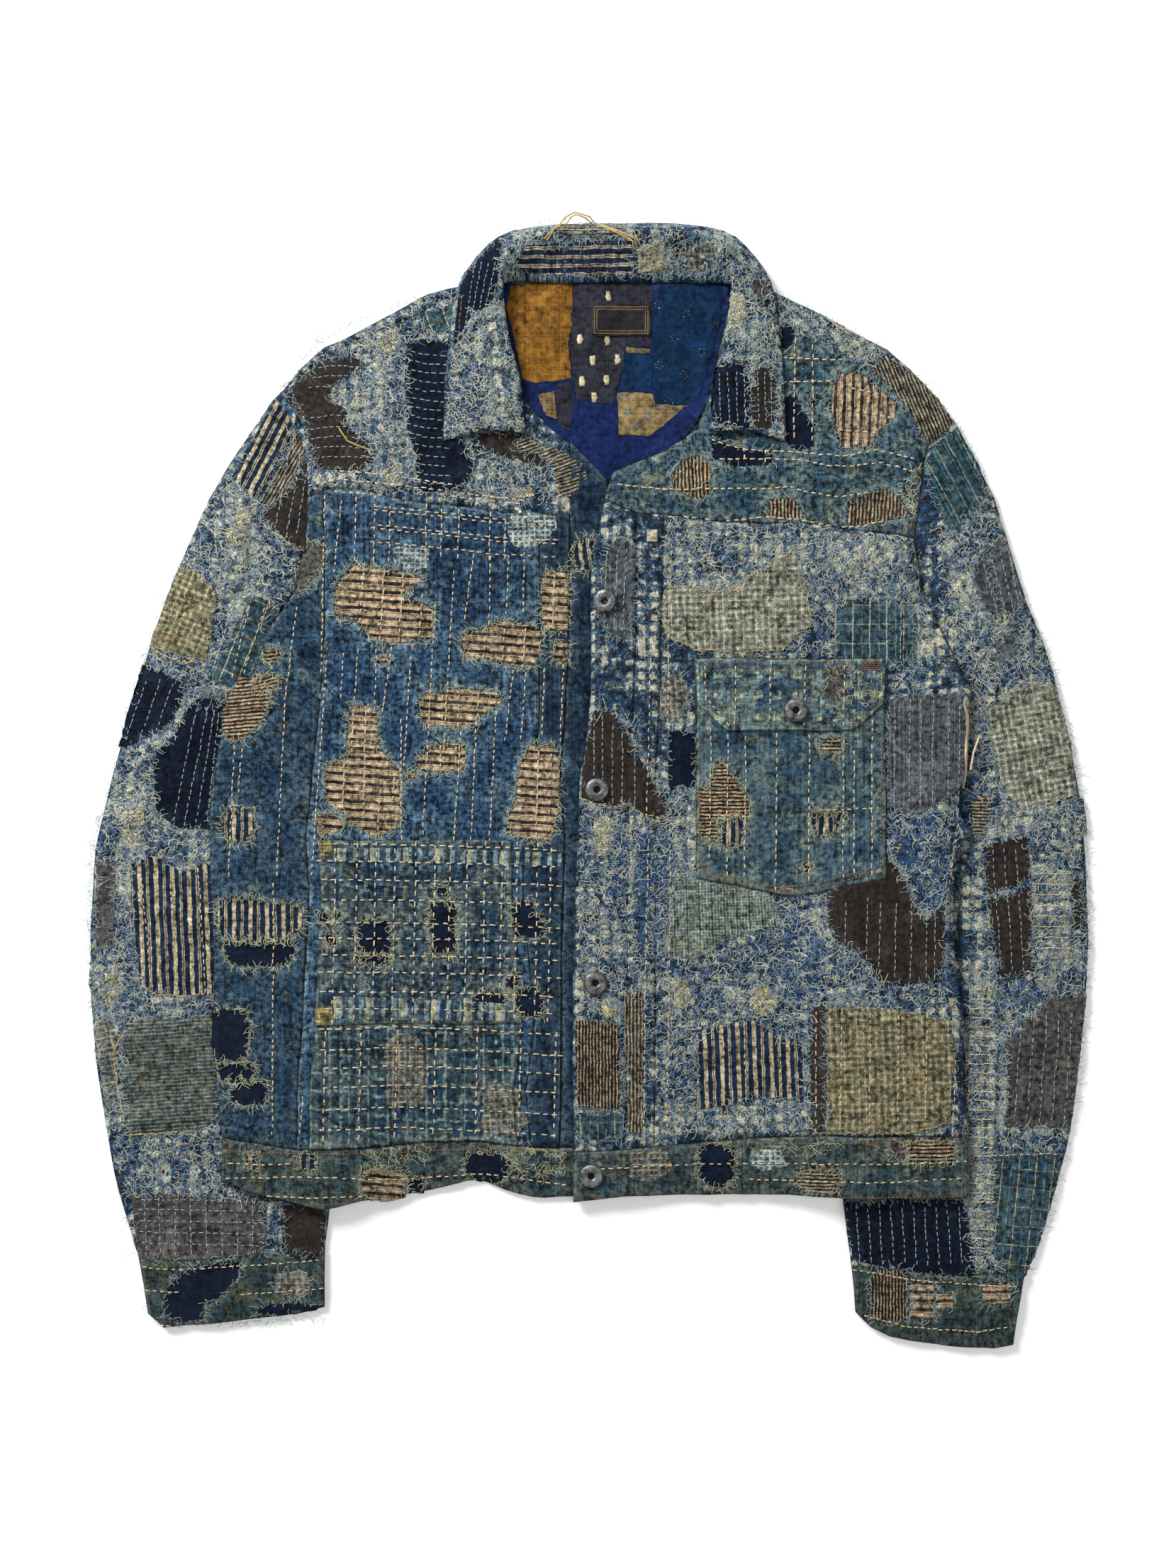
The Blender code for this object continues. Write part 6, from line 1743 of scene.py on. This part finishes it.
TORN_WAIST = [
    "350,1627 358,1625 367,1630 367,1646 358,1650 350,1646",
    "424,1625 436,1623 446,1628 445,1646 430,1649 424,1644",
    "511,1650 530,1646 552,1650 573,1656 572,1690 548,1696 524,1694 510,1684",
    "572,1664 598,1663 598,1685 574,1684",
    "657,1630 680,1626 704,1628 721,1636 720,1660 700,1671 672,1668 656,1656",
    "986,1620 1000,1613 1020,1616 1037,1624 1036,1660 1020,1676 1000,1674 986,1660",
    "1278,1610 1300,1605 1330,1606 1346,1612 1344,1636 1310,1640 1278,1636",
    "1254,1608 1277,1607 1277,1634 1254,1632",
    "1124,1652 1150,1648 1182,1652 1184,1676 1160,1681 1126,1678",
]
waist_denim = cloth(
    "waistband denim", "faded_denim", "20323c 31464d 737a6c", twill=0.6, lines=((0, 17, 0, 4, "2d454e"),),
    fade=0.14, stain=0.12, stained="90834e", seed=47, rub=0.9,
)
waist_folds = [
    (-230, -262, -60, -275, 6, 0.9), (-60, -272, -20, -292, 8, -0.9), (20, -265, 250, -262, 6, 0.8),
    (60, -252, 70, -286, 8, 0.8), (190, -250, 200, -284, 8, 0.8), (-150, -258, -140, -292, 8, 0.9),
]
torn = charts(" / ".join(TORN_WAIST))
waist_right = cloth_shell("waistband_right", waist_denim, waist_folds, torn, 3.8)
waist_left = cloth_shell("waistband_left", waist_denim, waist_folds, torn, 3.8)
waist_levels = ("waistband_right", "waistband_left")
waist_rows = [
    (hickory, 0, 0, TORN_WAIST[0]), (hickory, 0, 0, TORN_WAIST[1]), (tan_stripe, -6, 0, TORN_WAIST[2]),
    (navy_twill, 0, 0, TORN_WAIST[3]), (navy_twill, 0, 0, TORN_WAIST[4]),
    (navy_twill, 0, 0, TORN_WAIST[5]), (pepper_check, 0, 0, TORN_WAIST[6]),
    (grey_wool, 0, 0, TORN_WAIST[7]), (salt_stripe, 0, 0, TORN_WAIST[8]),
    (worn_check, 0, 0.3, "890,1624 940,1620 950,1650 920,1668 886,1660"),
    (pale_check, 0, 0.3, "1060,1622 1100,1620 1110,1644 1076,1652 1056,1640"),
]
waist_pieces = patches("waist", waist_levels, waist_rows)
levels = waist_levels + tuple(piece.name for piece in waist_pieces)
sewn(
    "waist_cream_stitches", cream_thread, 0.85,
    (levels, charts("322,1660 440,1658 560,1664 680,1656 800,1672 / 840,1648 980,1642 1120,1640 "
     "1240,1640 1360,1636 / 322,1640 420,1640 / 1060,1664 1240,1666 1360,1660 / 330,1684 440,1688 "
     "520,1686"), 6, 3.2, 0.5),
)
sewn(
    "waist_rust_stitches", rust_thread, 0.45,
    (levels, charts("322,1622 440,1626 560,1626 700,1620 800,1626 / 322,1700 440,1698 560,1694 / "
     "840,1612 980,1612 1120,1612 1362,1608 / 840,1690 980,1688 1120,1688 1362,1686"), 3, 2, 0.3,
     0.1),
)
frayed = fringes(levels, torn, *HOLE_FRINGES)
for zone in charts(
    "520,1620 600,1612 610,1640 520,1644 / 700,1612 790,1612 800,1660 720,1664 / 1040,1612 1180,1612 "
    "1180,1622 1040,1622"
):
    frayed += loops(levels + ("front_panel_right",), zone, 9, 7, 0.9)
threads("waist_frays", fray_thread, frayed, 0.4)
laid(waist_right, "waistband_right")
laid(waist_left, "waistband_left")

# Buttons: aged zinc rings, with painted shade in the hollow at the middle and under the rim, each on a
# shank through the cloth.
# A real one turns on its shank and passes through its buttonhole. The faces are plain.

zinc, tree, shader = new_finish("aged zinc", "aged_zinc", Metallic=0.75)
place = Signal(tree, tree.nodes.new("ShaderNodeTexCoord").outputs["Object"])
pits = cloud(tree, place, 900, 4, 0.7)
smut = cloud(tree, place, 260, 3, 0.6)
tint = dye(tree, (smut + pits * 0.6).ramp(0.6, 1), shade("3c3c3d"), shade("8d8e8f"))
# Painted shade: near black in the hollow at the middle and under the rim.
tint = dye(tree, wear_and_shade_of(tree), tint, shade("141414"))
joined(tree, shader, Roughness=pits * 0.4 + 0.28)
dressed(tree, shader, tint, pits + smut, 0.5, 0.0002)

# Half of a button's section, for one 16.6 mm across: out, up, and how much painted shade darkens it.
PROFILE = (
    (0, -0.5, 1), (1.6, -0.5, 1), (2.1, 0.2, 0.9), (2.5, 0.9, 0.2), (3.4, 1.3, 0),
    (5.2, 1.35, 0), (6.9, 1.1, 0), (7.9, 0.4, 0.1), (8.2, -0.3, 0.5), (7.9, -1.2, 0.9),
)
PROFILE_WIDTH = 0.0166
BELOW_TOP = 0.0014
for place, tilt in (("chest", 0.28), ("belly", 0), ("hip", -0.05), ("waist", 0.05), ("pocket", 0)):
    low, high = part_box("button_" + place)
    bm = bmesh.new()
    wear = bm.verts.layers.float.new("wear")
    line = []
    for out, up, dark in PROFILE:
        vert = bm.verts.new((out / 1000, 0, up / 1000))
        vert[wear] = dark
        line.append(vert)
    edges = [bm.edges.new(pair) for pair in zip(line, line[1:])]
    bmesh.ops.spin(
        bm, geom=line + edges, cent=(0, 0, 0), axis=(0, 0, 1), angle=2 * math.pi, steps=40,
        use_merge=True,
    )
    bmesh.ops.remove_doubles(bm, verts=bm.verts, dist=0.00001)
    bmesh.ops.recalc_face_normals(bm, faces=bm.faces)
    grow = min(high.x - low.x, high.y - low.y) / PROFILE_WIDTH
    middle = (low + high) * 0.5
    for vert in bm.verts:
        x, y, z = vert.co * grow
        level = high.z - BELOW_TOP + z + x * math.sin(tilt) * 0.6
        vert.co = (middle.x + x * math.cos(tilt), middle.y + y, level)
    if sum(face.normal.z * face.calc_area() for face in bm.faces) < 0:
        bmesh.ops.reverse_faces(bm, faces=bm.faces)
    finished(bm, "button_%s_zinc" % place, zinc, ("button_" + place,), 50)

# A small pale metal tab, folded over the band beside the placket.
TAB_PLACE = (0.0445, 0.177)
TAB_SIZE = (0.0075, 0.0085, 0.0012)
tab = bmesh.new()
bmesh.ops.create_cube(tab, size=1)
level = height_at(left_levels, *TAB_PLACE) or 0.010
for vert in tab.verts:
    x, y, z = (along * size for along, size in zip(vert.co, TAB_SIZE))
    vert.co = (TAB_PLACE[0] + x, TAB_PLACE[1] + y, level + 0.0007 + z)
bmesh.ops.bevel(tab, geom=tab.edges[:], offset=0.0004, affect="EDGES", segments=2, profile=0.5, material=-1)
tab_metal = cloth(
    "pale tab", "aged_zinc", "a79f86 9a927a b8b09a", thread=0.3, fade=-0.2, stain=0.1, bump=0.1, sheen=0,
    roughness=0.5, seed=99, rub=0.3,
)
finished(tab, "left_front_tab", tab_metal)

# The surface, the light and the camera: straight above, as the photograph was taken.
stand = bmesh.new()
bmesh.ops.create_grid(stand, x_segments=1, y_segments=1, size=6)
floor_mesh = bpy.data.meshes.new("floor")
stand.to_mesh(floor_mesh)
stand.free()
floor = bpy.data.objects.new("floor", floor_mesh)
bpy.context.scene.collection.objects.link(floor)
floor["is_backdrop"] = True
pale = bpy.data.materials.new("pale floor")
pale.use_nodes = True
joined(
    pale.node_tree, pale.node_tree.nodes["Principled BSDF"], Base_Color=(0.93, 0.93, 0.93, 1),
    Roughness=0.9, Emission_Color=(1, 1, 1, 1), Emission_Strength=0.22,
)
floor_mesh.materials.append(pale)

world = bpy.data.worlds.new("studio")
bpy.context.scene.world = world
world.use_nodes = True
joined(world.node_tree, world.node_tree.nodes["Background"], Color=(1, 1, 1, 1), Strength=0.36)
for name, place, size, power in (
    ("key light", (-1.5, 1.7, 1.5), 1, 104),
    ("fill light", (1.8, -0.6, 2.2), 2.2, 14),
):
    light = bpy.data.lights.new(name, "AREA")
    light.size = size
    light.energy = power
    lamp = bpy.data.objects.new(name, light)
    lamp.location = place
    lamp.rotation_euler = (Vector((0, 0, 0)) - lamp.location).to_track_quat("-Z", "Y").to_euler()
    bpy.context.scene.collection.objects.link(lamp)

# In metres, save the sensor's width, which is in millimetres as the lens is.
CAMERA_HEIGHT = 2
CLOTH_HEIGHT = 0.008
PICTURE_LONG_SIDE = 1.106
SENSOR_WIDTH = 36
bpy.context.scene.view_settings.view_transform = "Standard"
camera_data = bpy.data.cameras.new("camera")
camera_data.sensor_width = SENSOR_WIDTH
camera_data.lens = SENSOR_WIDTH * (CAMERA_HEIGHT - CLOTH_HEIGHT) / PICTURE_LONG_SIDE
camera = bpy.data.objects.new("camera", camera_data)
camera.location = (-0.00075, 0.002, CAMERA_HEIGHT)
bpy.context.scene.collection.objects.link(camera)
bpy.context.scene.camera = camera

low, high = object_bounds()
